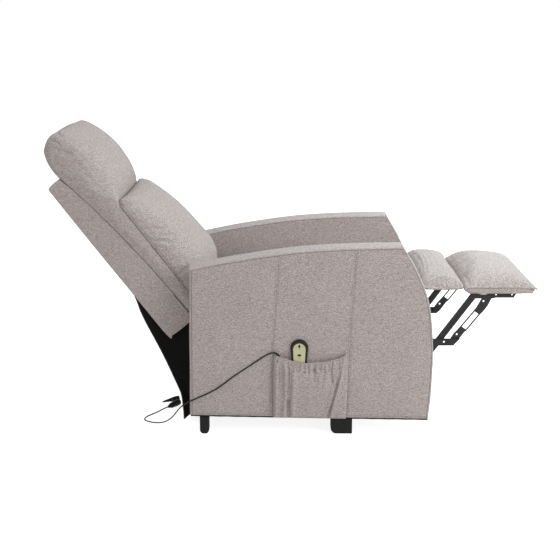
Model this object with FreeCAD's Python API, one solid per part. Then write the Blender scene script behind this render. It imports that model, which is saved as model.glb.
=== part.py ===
"""Lift recliner chair, reclined with its legrest out, as separate solids in millimetres.

Frame: +Z up, the sitter faces -Y, X across the chair. The origin is on the floor under the
middle of the whole reclined chair. Side-plane positions are written as (forward, up) pairs,
where forward = -Y.
"""
import FreeCAD, Part
import math
import os
from FreeCAD import Vector

# ---------------------------------------------------------------- driving dimensions
ARM_OUTER = 365.0            # half of the overall width
ARM_THICK = 100.0
ARM_REAR = -336.0            # rear edge of the arms, forward position
ARM_REAR_TOP = 565.0
ARM_TOP = 638.0              # front top corner height
ARM_TOP_FRONT = 362.0        # front top corner, forward position
ARM_BELLY = 468.0            # most forward point of the arm's front curve
ARM_FOOT_FRONT = 457.0
ARM_BOTTOM_REAR = 68.0
ARM_BOTTOM_FRONT = 54.0
ARM_EDGE_ROUND = 12.0

CUSHION_SIDE_GAP = 7.0       # between the arms and everything that moves between them

BACK_LEAN = 37.5             # rear face of the back from the vertical, degrees
BACK_CORNER = (-412.0, 312.0)        # rear bottom corner of the back shell
BACK_HEIGHT = 627.0          # length of the rear face
BACK_DROP = 28.0             # how far the shell hangs below its rear corner
SHELL_FRONT_FOOT = 110.6     # shell thickness at the rear corner's level
SHELL_TAPER = 0.10           # thickness lost per unit of height
BACK_PIVOT = (-18.0, 160.0)          # recline axis, (up the back, off its rear face)

SEAT_RAIL_LOW = 345.0
SEAT_RAIL_TOP = 400.0
SEAT_RAIL_REAR = -230.0
SEAT_RAIL_THICK = 32.0
FRONT_RAIL_FACE = 420.0
FRONT_RAIL_THICK = 22.0
REAR_RAIL_FACE = -218.0
CUSHION_REAR = -205.0
CUSHION_EDGE_TOP = 492.0
CUSHION_CROWN = 26.0

BAR_REACH = (117.0, 161.0)   # ottoman bar, from its lower to its upper pivot
BAR_SPACING = 50.0           # between the two ottoman bars, along the drive link
DRIVE_LINK = (193.0, -22.0)  # drive link, from the torque tube to the rear ottoman bar
LINK_OFFSET = 55.0           # lower link pivots below the drive link's, along the bars
TORQUE_TUBE = (308.0, 306.0)
MID_HINGE = (TORQUE_TUBE[0] + BAR_REACH[0], TORQUE_TUBE[1] + BAR_REACH[1])
FRONT_RAIL_TOP = MID_HINGE[1] - 4.0

OTTOMAN_REAR = 589.0         # crease between the two footrest cushions
OTTOMAN_FRONT = 829.0
OTTOMAN_BOARD = 10.0         # thickness of both footrest boards
OTTOMAN_BOARD_LOW = TORQUE_TUBE[1] + DRIVE_LINK[1] + BAR_REACH[1] + 12.0
MID_BOARD_LOW = MID_HINGE[1] + 4.0

LIFT_LINK = 230.0            # lift links, pivot to pivot
LIFT_REST_ANGLE = 170.0      # their direction at rest, from forward, degrees
LIFT_SWING = 65.0            # how far they turn, degrees
BASE_PIVOT_UP = 62.0
FRONT_BASE_PIVOT = 224.0
REAR_BASE_PIVOT = -51.0
TILT_PIVOT_FORWARD = 244.0

STEEL_PLATE = 5.0            # flat links
SIDE_PLATE = 4.0
PIVOT_PIN = 5.0              # radius of the pivot rivets
RUNNING = 0.05               # radial clearance of a pin that turns
LAYER_GAP = 0.5              # side clearance between plates that slide past each other

HANDSET = (59.0, 150.0, 12.5)        # width, length, thickness
HANDSET_CENTRE = 27.0
HANDSET_TOP = 332.0
CORD_DIAMETER = 4.5

ARM_INNER = ARM_OUTER - ARM_THICK
HALF = ARM_INNER - CUSHION_SIDE_GAP          # half width of the back and the cushions

# layers of the linkage, outward positions of each plate's inner face
PLATE_IN = ARM_INNER - SEAT_RAIL_THICK - SIDE_PLATE  # side plate of the seat
DRIVE_IN = PLATE_IN - LAYER_GAP - STEEL_PLATE        # drive link and foot bracket
BAR_IN = DRIVE_IN - LAYER_GAP - STEEL_PLATE          # ottoman bars
LOWER_IN = BAR_IN - LAYER_GAP - STEEL_PLATE          # lower link
LIFT_FRAME_IN = PLATE_IN + SIDE_PLATE + 6.0
LIFT_LINK_IN = LIFT_FRAME_IN + STEEL_PLATE + 1.5
BASE_PLATE_IN = LIFT_LINK_IN + STEEL_PLATE + 1.5

os.makedirs("parts", exist_ok=True)


# ---------------------------------------------------------------- helpers
def at(x, forward, up):
    """Point from its place across, forward and up."""
    return Vector(x, -forward, up)


def save(name, *solids):
    """Write one sub-part, one solid or a group of separate solids."""
    shape = solids[0] if len(solids) == 1 else Part.makeCompound(list(solids))
    shape.exportStep("parts/%s.step" % name)
    volume = sum(s.Volume for s in shape.Solids)
    print("%-26s %2d solid(s) %9.1f cm3" % (name, len(shape.Solids), volume / 1000.0))
    return shape


def mirrored(shape):
    """The same piece on the other side of the chair."""
    return shape.mirror(Vector(0, 0, 0), Vector(1, 0, 0))


def both(shape):
    return [shape, mirrored(shape)]


def box(x0, x1, f0, f1, z0, z1):
    return Part.makeBox(x1 - x0, f1 - f0, z1 - z0, at(x0, f1, z0))


def rod_x(centre, radius, x0, x1):
    """Round bar across the chair, its axis through a side-plane point."""
    return Part.makeCylinder(radius, x1 - x0, at(x0, centre[0], centre[1]), Vector(1, 0, 0))


def tube_x(centre, radius, wall, x0, x1):
    return rod_x(centre, radius, x0, x1).cut(rod_x(centre, radius - wall, x0 - 1, x1 + 1))


def tube_along(f0, f1, x, up, radius):
    """Round bar lying front to back."""
    return Part.makeCylinder(radius, f1 - f0, at(x, f0, up), Vector(0, -1, 0))


def outline(points, x):
    """Closed wire of straight edges through side-plane points."""
    corners = [at(x, f, z) for f, z in points]
    return Part.makePolygon(corners + corners[:1])


def plate(points, x0, thickness, holes=()):
    """Flat plate from a side-plane outline, with round holes (centre, radius)."""
    body = Part.Face(outline(points, x0)).extrude(Vector(thickness, 0, 0))
    for centre, radius in holes:
        body = body.cut(rod_x(centre, radius, x0 - 1, x0 + thickness + 1))
    return body


def flat_link(p, q, half_width, x0, thickness=STEEL_PLATE, holes=()):
    """Flat bar with round ends between two side-plane points."""
    along = Vector(q[0] - p[0], q[1] - p[1], 0)
    length = along.Length
    along.normalize()
    across = (-along.y * half_width, along.x * half_width)
    corners = [(p[0] + across[0], p[1] + across[1]), (p[0] - across[0], p[1] - across[1]),
               (q[0] - across[0], q[1] - across[1]), (q[0] + across[0], q[1] + across[1])]
    body = plate(corners, x0, thickness)
    body = body.fuse([rod_x(p, half_width, x0, x0 + thickness),
                      rod_x(q, half_width, x0, x0 + thickness)]).removeSplitter()
    for centre, radius in holes:
        body = body.cut(rod_x(centre, radius, x0 - 1, x0 + thickness + 1))
    return body


def between(p, q, share):
    return (p[0] + (q[0] - p[0]) * share, p[1] + (q[1] - p[1]) * share)


def rivet(centre, x0, x1, head=True, radius=PIVOT_PIN):
    """Pivot rivet from x0 outwards to x1, with a domed head on its inner end."""
    pin = rod_x(centre, radius, x0, x1)
    if head:
        pin = pin.fuse(rod_x(centre, radius + 3.0, x0 - 2.0, x0 - 0.1).fuse(
            rod_x(centre, radius, x0 - 0.1, x0))).removeSplitter()
    return pin


def back_point(x, up, off):
    """Point on the back: up along its rear face, off that face towards the sitter."""
    lean = math.radians(BACK_LEAN)
    forward = BACK_CORNER[0] - up * math.sin(lean) + off * math.cos(lean)
    height = BACK_CORNER[1] + up * math.cos(lean) + off * math.sin(lean)
    return at(x, forward, height)


def back_side(up, off):
    p = back_point(0, up, off)
    return (-p.y, p.z)


def shell_front(up):
    """Thickness of the back shell at a height up the back."""
    return SHELL_FRONT_FOOT - SHELL_TAPER * up


def closed_profile(points, place, straight):
    """Closed wire: a smooth curve through all points, shut by straight edges.

    points holds the curve first; the last `straight` points are joined by lines."""
    curve = points[:len(points) - straight]
    rest = points[len(points) - straight:]
    spline = Part.BSplineCurve()
    spline.interpolate([place(*p) for p in curve])
    edges = [spline.toShape()]
    chain = [curve[-1]] + list(rest) + [curve[0]]
    for a, b in zip(chain[:-1], chain[1:]):
        edges.append(Part.makeLine(place(*a), place(*b)))
    return Part.Wire(edges)


# ---------------------------------------------------------------- base on the floor
REST_DIRECTION = math.radians(LIFT_REST_ANGLE)
LINK_RUN = (LIFT_LINK * math.cos(REST_DIRECTION), LIFT_LINK * math.sin(REST_DIRECTION))
B1 = (FRONT_BASE_PIVOT, BASE_PIVOT_UP)
B2 = (REAR_BASE_PIVOT, BASE_PIVOT_UP)
C1 = (B1[0] + LINK_RUN[0], B1[1] + LINK_RUN[1])
C2 = (B2[0] + LINK_RUN[0], B2[1] + LINK_RUN[1])
TILT = (TILT_PIVOT_FORWARD, C1[1])

RAIL_TOP = 46.0
RAIL_LOW = 36.0              # flat bars under the lift links
TUBE_LOW = 24.0              # square tubes across the floor frame
FRONT_FOOT = (133.0, 205.0)
REAR_FOOT = (-305.0, -274.0)
FOOT_OUT = ARM_OUTER - 15.0          # ends of the foot tubes
FOOT_IN = FOOT_OUT - 32.0
FOOT_CHEEK = 3.0             # wall of a foot over the end of its tube
FRONT_TUBE = (150.0, 180.0)
MOTOR_TUBE = (-266.0, -240.0)
REAR_TUBE = (REAR_FOOT[0] + 3.0, REAR_FOOT[1] - 4.0)
OUTER_RAIL = (BASE_PLATE_IN - 12.0, BASE_PLATE_IN + 10.0)
INNER_RAIL = (40.0, 60.0)    # rails beside the lift motor
FRONT_FOOT_TOP = 54.0
REAR_FOOT_TOP = 60.0
FOOT_ROUND = 20.0            # rear corner of the front feet
FOOT_FLAT = 1.0              # how far the rear feet's round ends are cut flat
LIFT_CRANK = 70.0
LIFT_ROD_UP = 124.0


def base_frame():
    """Floor frame: a square tube across at each pair of feet, flat bars under the links between them,
    and two rails that carry the lift motor's tube."""
    stub_end = B1[0] + 20
    outer = [box(*OUTER_RAIL, REAR_TUBE[1], FRONT_TUBE[0], RAIL_LOW, RAIL_TOP),
             box(*OUTER_RAIL, FRONT_TUBE[1], stub_end, RAIL_LOW, RAIL_TOP)]
    save("base_outer_rails", *(both(outer[0]) + both(outer[1])))
    inner = [box(*INNER_RAIL, REAR_TUBE[1], MOTOR_TUBE[0], TUBE_LOW, RAIL_TOP),
             box(*INNER_RAIL, MOTOR_TUBE[1], FRONT_TUBE[0], TUBE_LOW, RAIL_TOP)]
    save("base_inner_rails", *(both(inner[0]) + both(inner[1])))
    tubes = [box(-FOOT_OUT, FOOT_OUT, f0, f1, TUBE_LOW, RAIL_TOP) for f0, f1 in (FRONT_TUBE, REAR_TUBE)]
    tubes.append(box(-OUTER_RAIL[0], OUTER_RAIL[0], *MOTOR_TUBE, TUBE_LOW, RAIL_TOP))
    save("base_cross_tubes", *tubes)


def base_feet():
    """Moulded feet that cap the tubes' ends: quarter-round fronts with a parting line, round rears."""
    cheek = FOOT_OUT + FOOT_CHEEK
    f0, f1 = FRONT_FOOT
    foot = box(FOOT_IN, cheek, f0, f1, 0, FRONT_FOOT_TOP)
    corner = rod_x((f0 + FOOT_ROUND, FOOT_ROUND), FOOT_ROUND, FOOT_IN - 1, cheek + 1)
    block = box(FOOT_IN - 1, cheek + 1, f0 - 1, f0 + FOOT_ROUND, -1, FOOT_ROUND)
    socket = box(FOOT_IN - 1, FOOT_OUT, *FRONT_TUBE, TUBE_LOW, RAIL_TOP)
    middle = (f0 + f1) / 2.0 + 5.0
    parting = box(cheek - 1.5, cheek + 1, middle - 1.0, middle + 1.0, -1, FRONT_FOOT_TOP + 1)
    save("front_feet", *both(foot.cut([block.cut(corner), socket, parting])))
    f0, f1 = REAR_FOOT
    radius = (f1 - f0) / 2.0
    centre = ((f0 + f1) / 2.0, radius - FOOT_FLAT)
    rear = box(FOOT_IN, cheek, f0, f1, centre[1], REAR_FOOT_TOP)
    rear = rear.fuse(rod_x(centre, radius, FOOT_IN, cheek)).removeSplitter()
    under = box(FOOT_IN - 1, cheek + 1, f0 - 1, f1 + 1, -2 * FOOT_FLAT, 0)
    socket = box(FOOT_IN - 1, FOOT_OUT, *REAR_TUBE, TUBE_LOW, RAIL_TOP)
    save("rear_feet", *both(rear.cut([under, socket])))


def base_plates():
    """Upright plates that carry the lift links' lower pivots, and the motor's two brackets."""
    plates = []
    for pivot in (B1, B2):
        foot = [(pivot[0] - 34, RAIL_TOP), (pivot[0] + 20, RAIL_TOP), (pivot[0] + 12, BASE_PIVOT_UP + 6),
                (pivot[0] + 5, BASE_PIVOT_UP + 12), (pivot[0] - 5, BASE_PIVOT_UP + 12),
                (pivot[0] - 12, BASE_PIVOT_UP + 6)]
        plates.append(plate(foot, BASE_PLATE_IN, STEEL_PLATE, [(pivot, PIVOT_PIN)]))
    rear = MOTOR_TUBE[0]
    clevis = [box(x0, x1, rear + 2, rear + 24, RAIL_TOP, LIFT_ROD_UP + 24) for x0, x1 in ((-32, -27), (27, 32))]
    save("base_brackets", *(plates + [mirrored(p) for p in plates] + clevis))
    pins = []
    for pivot in (B1, B2):
        pins.append(rod_x(pivot, PIVOT_PIN, LIFT_LINK_IN - 0.5, BASE_PLATE_IN + STEEL_PLATE))
    save("base_pivot_pins", *(pins + [mirrored(p) for p in pins]))


def lift_motor():
    """Actuator fixed along the floor frame between its brackets: gearbox, motor, outer tube."""
    rear = MOTOR_TUBE[0]
    gearbox = box(-26.7, 26.7, rear + 3, rear + 90, LIFT_ROD_UP - 24, LIFT_ROD_UP + 24)
    gearbox = gearbox.makeFillet(8.0, [e for e in gearbox.Edges if abs(e.tangentAt(e.FirstParameter).y) > 0.9])
    motor = tube_along(rear + 90, rear + 178, 0, LIFT_ROD_UP - 4, 23.0)
    save("lift_motor_housing", gearbox.fuse(motor).removeSplitter())
    tube_end = B1[0] - LIFT_CRANK - 26
    outer = tube_along(rear + 178, tube_end, 0, LIFT_ROD_UP, 17.0)
    bore = tube_along(rear + 196, tube_end + 1, 0, LIFT_ROD_UP, 10.0 + RUNNING)
    save("lift_motor_tube", outer.cut(bore))


def lift_rod():
    """Sliding rod with the slotted eye that the crank pin runs in."""
    start = MOTOR_TUBE[0] + 200
    pin = crank_pin()
    eye_half = PIVOT_PIN + 9.0
    rod_end = pin[0] - eye_half - 10
    rod = tube_along(start, rod_end, 0, LIFT_ROD_UP, 10.0)
    low = pin[1] - PIVOT_PIN - 2.0
    high = BASE_PIVOT_UP + LIFT_CRANK + PIVOT_PIN + 2.0
    eye = box(-4, 4, rod_end - 2, pin[0] + eye_half, low - 6, high + 6)
    slot_half = PIVOT_PIN + 1.6
    slot = box(-5, 5, pin[0] - slot_half, pin[0] + slot_half, low, high)
    save("lift_rod", rod.fuse(eye).removeSplitter().cut(slot))


def crank_pin():
    """Rest place of the pin on the front link's crank, half the swing before upright."""
    angle = math.radians(90.0 + LIFT_SWING / 2.0)
    return (B1[0] + LIFT_CRANK * math.cos(angle), B1[1] + LIFT_CRANK * math.sin(angle))


# ---------------------------------------------------------------- lift links and lift frame
def lift_links():
    """Parallel links between the floor frame and the lift frame, with their cross shaft."""
    front = flat_link(B1, C1, 12.0, LIFT_LINK_IN, holes=[(B1, PIVOT_PIN + RUNNING), (C1, PIVOT_PIN)])
    save("front_lift_links", *both(front))
    rear = flat_link(B2, C2, 12.0, LIFT_LINK_IN, holes=[(B2, PIVOT_PIN + RUNNING), (C2, PIVOT_PIN)])
    save("rear_lift_links", *both(rear))
    shaft_end = LIFT_LINK_IN
    shaft = tube_x(B1, 12.0, 2.5, -shaft_end, shaft_end)
    pin = crank_pin()
    cheeks = [flat_link(B1, pin, 9.0, x0, 5.0, holes=[(B1, 12.0), (pin, PIVOT_PIN)]) for x0 in (5.0, -10.0)]
    for i, x0 in enumerate((5.0, -10.0)):
        collar = rod_x(B1, 17.0, x0, x0 + 5.0).cut(rod_x(B1, 12.0, x0 - 1, x0 + 6))
        cheeks[i] = cheeks[i].fuse(collar).removeSplitter()
    save("front_lift_shaft", shaft, cheeks[0], cheeks[1], rod_x(pin, PIVOT_PIN, -10.0, 10.0))
    for name, pivot in (("front", C1), ("rear", C2)):
        save("%s_link_pins" % name,
             *both(rod_x(pivot, PIVOT_PIN, LIFT_FRAME_IN - 1.0, LIFT_LINK_IN + STEEL_PLATE)))


def lift_frame():
    """Frame that the links raise level: two flat bars and a rear cross tube."""
    rear_end = C2[0] - 40
    front_end = TILT[0] + 15
    bar = plate([(rear_end, C1[1] - 12), (front_end - 6, C1[1] - 12), (front_end, C1[1] - 5),
                 (front_end, C1[1] + 5), (front_end - 6, C1[1] + 12), (rear_end, C1[1] + 12)],
                LIFT_FRAME_IN, STEEL_PLATE,
                [(C1, PIVOT_PIN + RUNNING), (C2, PIVOT_PIN + RUNNING), (TILT, 7.0 + RUNNING)])
    cross = box(-LIFT_FRAME_IN, LIFT_FRAME_IN, rear_end + 4, rear_end + 24, C1[1] - 10, C1[1] + 10)
    save("lift_frame", *(both(bar) + [cross]))


# ---------------------------------------------------------------- seat chassis
P1 = TORQUE_TUBE
BAR_LENGTH = math.hypot(*BAR_REACH)
BAR_UNIT = (BAR_REACH[0] / BAR_LENGTH, BAR_REACH[1] / BAR_LENGTH)
P2 = (P1[0] - LINK_OFFSET * BAR_UNIT[0], P1[1] - LINK_OFFSET * BAR_UNIT[1])
A_LOW = (P1[0] + DRIVE_LINK[0], P1[1] + DRIVE_LINK[1])
B_LOW = (A_LOW[0] + BAR_SPACING, A_LOW[1])
A_HIGH = (A_LOW[0] + BAR_REACH[0], A_LOW[1] + BAR_REACH[1])
B_HIGH = (B_LOW[0] + BAR_REACH[0], B_LOW[1] + BAR_REACH[1])
A_FOOT = (A_LOW[0] - LINK_OFFSET * BAR_UNIT[0], A_LOW[1] - LINK_OFFSET * BAR_UNIT[1])
H = back_side(*BACK_PIVOT)

REAR_CROSS = (-230.0, 300.0)
FRONT_CROSS = (150.0, 262.0)
MOTOR_RAIL_TOP = 205.0
MOTOR_RAIL_LOW = 180.0
CRANK = 60.0                 # legrest crank radius
TORQUE_RADIUS = 13.0
YOKE_PLAY = 1.8              # sideways play of the crank pin in its upright slot


def side_plates():
    """Steel side plates: they carry the tilt pivot, both legrest pivots and the back pivot."""
    points = [(-250, 385), (345, 385), (345, 285), (318, 245), (290, 222), (264, 200),
              (260, TILT[1] + 4), (252, TILT[1] - 12), (236, TILT[1] - 12), (228, TILT[1] + 4),
              (224, 215), (180, 285), (-205, 285), (-262, 318), (H[0] - 18, H[1] - 8),
              (H[0] - 14, H[1] + 11), (H[0], H[1] + 18), (H[0] + 12, H[1] + 13)]
    holes = [(TILT, 7.0), (P1, TORQUE_RADIUS + RUNNING), (P2, PIVOT_PIN), (H, 7.0)]
    body = plate(points, PLATE_IN, SIDE_PLATE, holes)
    save("seat_side_plates", *both(body))
    tilt_pin = rod_x(TILT, 7.0, PLATE_IN, LIFT_FRAME_IN + STEEL_PLATE + 0.5)
    tilt_pin = tilt_pin.fuse(rod_x(TILT, 11.0, PLATE_IN + SIDE_PLATE, LIFT_FRAME_IN - 0.3)).removeSplitter()
    lower_pin = rod_x(P2, PIVOT_PIN, LOWER_IN, PLATE_IN + SIDE_PLATE)
    lower_pin = lower_pin.fuse(rod_x(P2, 7.0, LOWER_IN + STEEL_PLATE + 0.3, PLATE_IN)).removeSplitter()
    back_pin = rod_x(H, 7.0, DRIVE_IN, PLATE_IN + SIDE_PLATE)
    save("seat_pivot_pins", *(both(tilt_pin) + both(lower_pin) + both(back_pin)))


def chassis_tubes():
    """Square tubes between the side plates, and the hangers that carry the motor's rail."""
    half = 12.5
    tubes = [box(-PLATE_IN, PLATE_IN, f - half, f + half, z - half, z + half) for f, z in (REAR_CROSS, FRONT_CROSS)]
    hanger_front = box(-20, 20, FRONT_CROSS[0] - 12, FRONT_CROSS[0] + 12, MOTOR_RAIL_TOP, FRONT_CROSS[1] - half)
    hanger_rear = box(-20, 20, REAR_CROSS[0] - 10, REAR_CROSS[0] + 10, MOTOR_RAIL_TOP, REAR_CROSS[1] - half)
    save("seat_cross_tubes", tubes[0], tubes[1], hanger_rear, hanger_front)


def seat_frame():
    """Timber seat box: two side rails, a rear rail and a taller front rail."""
    side = box(ARM_INNER - SEAT_RAIL_THICK, ARM_INNER, SEAT_RAIL_REAR, FRONT_RAIL_FACE,
               SEAT_RAIL_LOW, SEAT_RAIL_TOP - 5)
    inner = ARM_INNER - SEAT_RAIL_THICK
    rear = box(-PLATE_IN, PLATE_IN, REAR_RAIL_FACE, REAR_RAIL_FACE + 22, SEAT_RAIL_LOW, SEAT_RAIL_TOP - 5)
    front = box(-inner, inner, FRONT_RAIL_FACE - FRONT_RAIL_THICK, FRONT_RAIL_FACE,
                SEAT_RAIL_LOW, FRONT_RAIL_TOP)
    save("seat_rails", side, mirrored(side), rear)
    save("seat_front_rail", front)


def seat_straps():
    """Elastic webbing that carries the seat cushion."""
    top = SEAT_RAIL_TOP
    rear = REAR_RAIL_FACE
    front = FRONT_RAIL_FACE - FRONT_RAIL_THICK
    straps = [box(x - 25, x + 25, rear, front, top - 5, top - 2.6) for x in (-180, -108, -36, 36, 108, 180)]
    cross = [box(-ARM_INNER + 4, ARM_INNER - 4, f - 25, f + 25, top - 2.6, top - 0.3)
             for f in (-140, -50, 40, 130, 220, 310)]
    whole = straps[0].fuse(straps[1:] + cross).removeSplitter()
    save("seat_straps", whole)


def seat_cushion():
    """Crowned seat cushion whose nose rolls over the front rail."""
    nose = FRONT_RAIL_FACE + 2
    shelf = FRONT_RAIL_TOP + 3
    sections = []
    for x, crown, pull in ((-HALF + 2, 0.0, 6.0), (-HALF + 70, 0.85, 1.0), (0, 1.0, 0.0),
                           (HALF - 70, 0.85, 1.0), (HALF - 2, 0.0, 6.0)):
        top = CUSHION_EDGE_TOP + CUSHION_CROWN * crown
        rear = CUSHION_REAR + pull
        points = [(nose - 14, shelf), (nose - pull, shelf + 16), (nose - 8, top - 14), (nose - 60, top + 2),
                  (150, top), (-100, top - 14), (rear + 16, top - 26), (rear, top - 44),
                  (rear, SEAT_RAIL_TOP), (FRONT_RAIL_FACE - FRONT_RAIL_THICK - 3, SEAT_RAIL_TOP),
                  (FRONT_RAIL_FACE - FRONT_RAIL_THICK - 3, shelf)]
        sections.append(closed_profile(points, lambda f, z, x=x: at(x, f, z), 3))
    save("seat_cushion", Part.makeLoft(sections, True, False))


# ---------------------------------------------------------------- arms
def arm_outline(x):
    """Arm side: long arc along the top, belly curve at the front, sloping bottom."""
    top = Part.Arc(at(x, ARM_REAR, ARM_REAR_TOP), at(x, 15.0, ARM_TOP - 15.0),
                   at(x, ARM_TOP_FRONT, ARM_TOP)).toShape()
    front = Part.BSplineCurve()
    front.interpolate([at(x, ARM_TOP_FRONT, ARM_TOP), at(x, 415.0, 545.0), at(x, 453.0, 440.0),
                       at(x, ARM_BELLY, 293.0), at(x, ARM_FOOT_FRONT, ARM_BOTTOM_FRONT)])
    bottom = Part.makeLine(at(x, ARM_FOOT_FRONT, ARM_BOTTOM_FRONT), at(x, ARM_REAR, ARM_BOTTOM_REAR))
    rear = Part.makeLine(at(x, ARM_REAR, ARM_BOTTOM_REAR), at(x, ARM_REAR, ARM_REAR_TOP))
    return Part.Wire([top, front.toShape(), bottom, rear])


def arms():
    face = Part.Face(arm_outline(ARM_INNER))
    arm = face.extrude(Vector(ARM_THICK, 0, 0))
    rounded = []
    for edge in arm.Edges:
        flat = abs(edge.BoundBox.XLength) < 0.01
        upper = edge.BoundBox.ZMax > ARM_BOTTOM_REAR + 20 and edge.BoundBox.ZLength > 40
        if flat and upper and edge.BoundBox.XMin > ARM_OUTER - 1:
            rounded.append(edge)
    arm = arm.makeFillet(ARM_EDGE_ROUND, rounded)
    save("arm_left", arm)
    save("arm_right", mirrored(arm))


# ---------------------------------------------------------------- legrest linkage
def along_bar(foot, points):
    """Side-plane points from places along and across an ottoman bar that stands on foot."""
    u, v = BAR_UNIT
    return [(foot[0] + a * u + w * v, foot[1] + a * v - w * u) for a, w in points]


def drive_link():
    """Flat link from the torque tube, with a deep front end that carries both ottoman bars."""
    rise, drop = 11.0, 13.0
    points = [(P1[0] - 4, P1[1] + 16), (A_LOW[0] - 14, A_LOW[1] + rise), (B_LOW[0] + 25, B_LOW[1] + rise),
              (B_LOW[0] + 3, B_LOW[1] - drop), (A_LOW[0] - 6, A_LOW[1] - drop), (P1[0] - 2, P1[1] - 16)]
    collar = rod_x(P1, 20.0, DRIVE_IN, DRIVE_IN + STEEL_PLATE)
    link = plate(points, DRIVE_IN, STEEL_PLATE).fuse(collar).removeSplitter()
    for centre, radius in ((P1, TORQUE_RADIUS), (A_LOW, PIVOT_PIN), (B_LOW, PIVOT_PIN),
                           (between(A_LOW, B_LOW, 0.42), 3.5)):
        link = link.cut(rod_x(centre, radius, DRIVE_IN - 1, DRIVE_IN + STEEL_PLATE + 1))
    return link


def rear_bar():
    """Straight bar with a pressed groove along its outer face."""
    bar = flat_link(A_FOOT, A_HIGH, 11.0, BAR_IN,
                    holes=[(A_FOOT, PIVOT_PIN + RUNNING), (A_LOW, PIVOT_PIN + RUNNING), (A_HIGH, PIVOT_PIN)])
    outer = BAR_IN + STEEL_PLATE
    groove = flat_link(between(A_LOW, A_HIGH, 0.19), between(A_LOW, A_HIGH, 0.80), 3.2, outer - 1.4, 2.4)
    return bar.cut(groove)


def front_bar():
    """Bar with wide polygonal ends, thinned to two narrow sides by a long window."""
    low, high, end = 0.29 * BAR_LENGTH, 0.66 * BAR_LENGTH, BAR_LENGTH
    edge = [(-9, -9), (-13, 0), (-9, 9), (8, 13), (low - 8, 13), (low, 15.5), (high, 18), (high + 18, 20),
            (end - 29, 20), (end - 3, 15), (end + 7, 8), (end + 11, 0), (end + 7, -8), (end - 3, -12),
            (end - 27, -11), (high + 12, -7), (high, -7), (low, -10), (24, -13), (8, -12)]
    window = [(low + 3, -6.0), (low + 3, 11.5), (high - 3, 14.0), (high - 3, -3.0)]
    bar = plate(along_bar(B_LOW, edge), BAR_IN, STEEL_PLATE,
                [(B_LOW, PIVOT_PIN + RUNNING), (B_HIGH, PIVOT_PIN),
                 (along_bar(B_LOW, [(29, -3)])[0], 3.5), (along_bar(B_LOW, [(end - 25, -1)])[0], 3.5)])
    return bar.cut(plate(along_bar(B_LOW, window), BAR_IN - 1, STEEL_PLATE + 2))


def foot_bracket():
    """Bracket under the front board: a web with the bars' pivots and two holes, and a screwed flange."""
    top = OTTOMAN_BOARD_LOW
    points = [(A_HIGH[0] - 12, top), (A_HIGH[0] - 12, A_HIGH[1] - 9), (B_HIGH[0] + 14, B_HIGH[1] - 9),
              (B_HIGH[0] + 24, B_HIGH[1] - 6), (B_HIGH[0] + 85, B_HIGH[1] - 6), (B_HIGH[0] + 95, top)]
    web = plate(points, DRIVE_IN, STEEL_PLATE,
                [(A_HIGH, PIVOT_PIN + RUNNING), (B_HIGH, PIVOT_PIN + RUNNING),
                 ((B_HIGH[0] + 25, B_HIGH[1] + 4), 2.8), ((B_HIGH[0] + 79, B_HIGH[1] + 4), 2.8)])
    flange = box(DRIVE_IN - 18, DRIVE_IN, B_HIGH[0] + 20, B_HIGH[0] + 94, top - 3, top)
    return web.fuse(flange).removeSplitter()


def torque_tube():
    """Tube between the side plates that turns both drive links, with the motor's crank on it."""
    end = PLATE_IN + SIDE_PLATE - 0.5
    pin = legrest_crank_pin()
    cheeks = []
    for x0 in (5.0, -10.0):
        cheek = flat_link(P1, pin, 10.0, x0, 5.0, holes=[(pin, PIVOT_PIN)])
        cheek = cheek.fuse(rod_x(P1, TORQUE_RADIUS + 6, x0, x0 + 5.0)).removeSplitter()
        cheeks.append(cheek.cut(rod_x(P1, TORQUE_RADIUS, x0 - 1, x0 + 6)))
    save("torque_tube", tube_x(P1, TORQUE_RADIUS, 2.5, -end, end), cheeks[0], cheeks[1],
         rod_x(pin, PIVOT_PIN, -10.0, 10.0))


def legrest():
    """Drive and lower links, two pairs of ottoman bars and the foot brackets."""
    save("drive_links", *both(drive_link()))
    torque_tube()
    lower = flat_link(P2, A_FOOT, 11.0, LOWER_IN, holes=[(P2, PIVOT_PIN + RUNNING), (A_FOOT, PIVOT_PIN)])
    save("lower_links", *both(lower))
    save("rear_ottoman_bars", *both(rear_bar()))
    save("front_ottoman_bars", *both(front_bar()))
    save("foot_brackets", *both(foot_bracket()))


def linkage_rivets():
    """Rivets, each on the body that holds it fast."""
    outer = DRIVE_IN + STEEL_PLATE
    save("drive_link_rivets", *sum((both(rivet(p, BAR_IN, outer)) for p in (A_LOW, B_LOW)), []))
    save("lower_link_rivets", *both(rivet(A_FOOT, LOWER_IN, BAR_IN + STEEL_PLATE)))
    save("rear_bar_rivets", *both(rivet(A_HIGH, BAR_IN, outer)))
    save("front_bar_rivets", *both(rivet(B_HIGH, BAR_IN, outer)))


def legrest_crank_pin():
    """Rest place of the crank pin, half the swing ahead of straight down."""
    angle = math.radians(-45.0)
    return (P1[0] + CRANK * math.cos(angle), P1[1] + CRANK * math.sin(angle))


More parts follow.
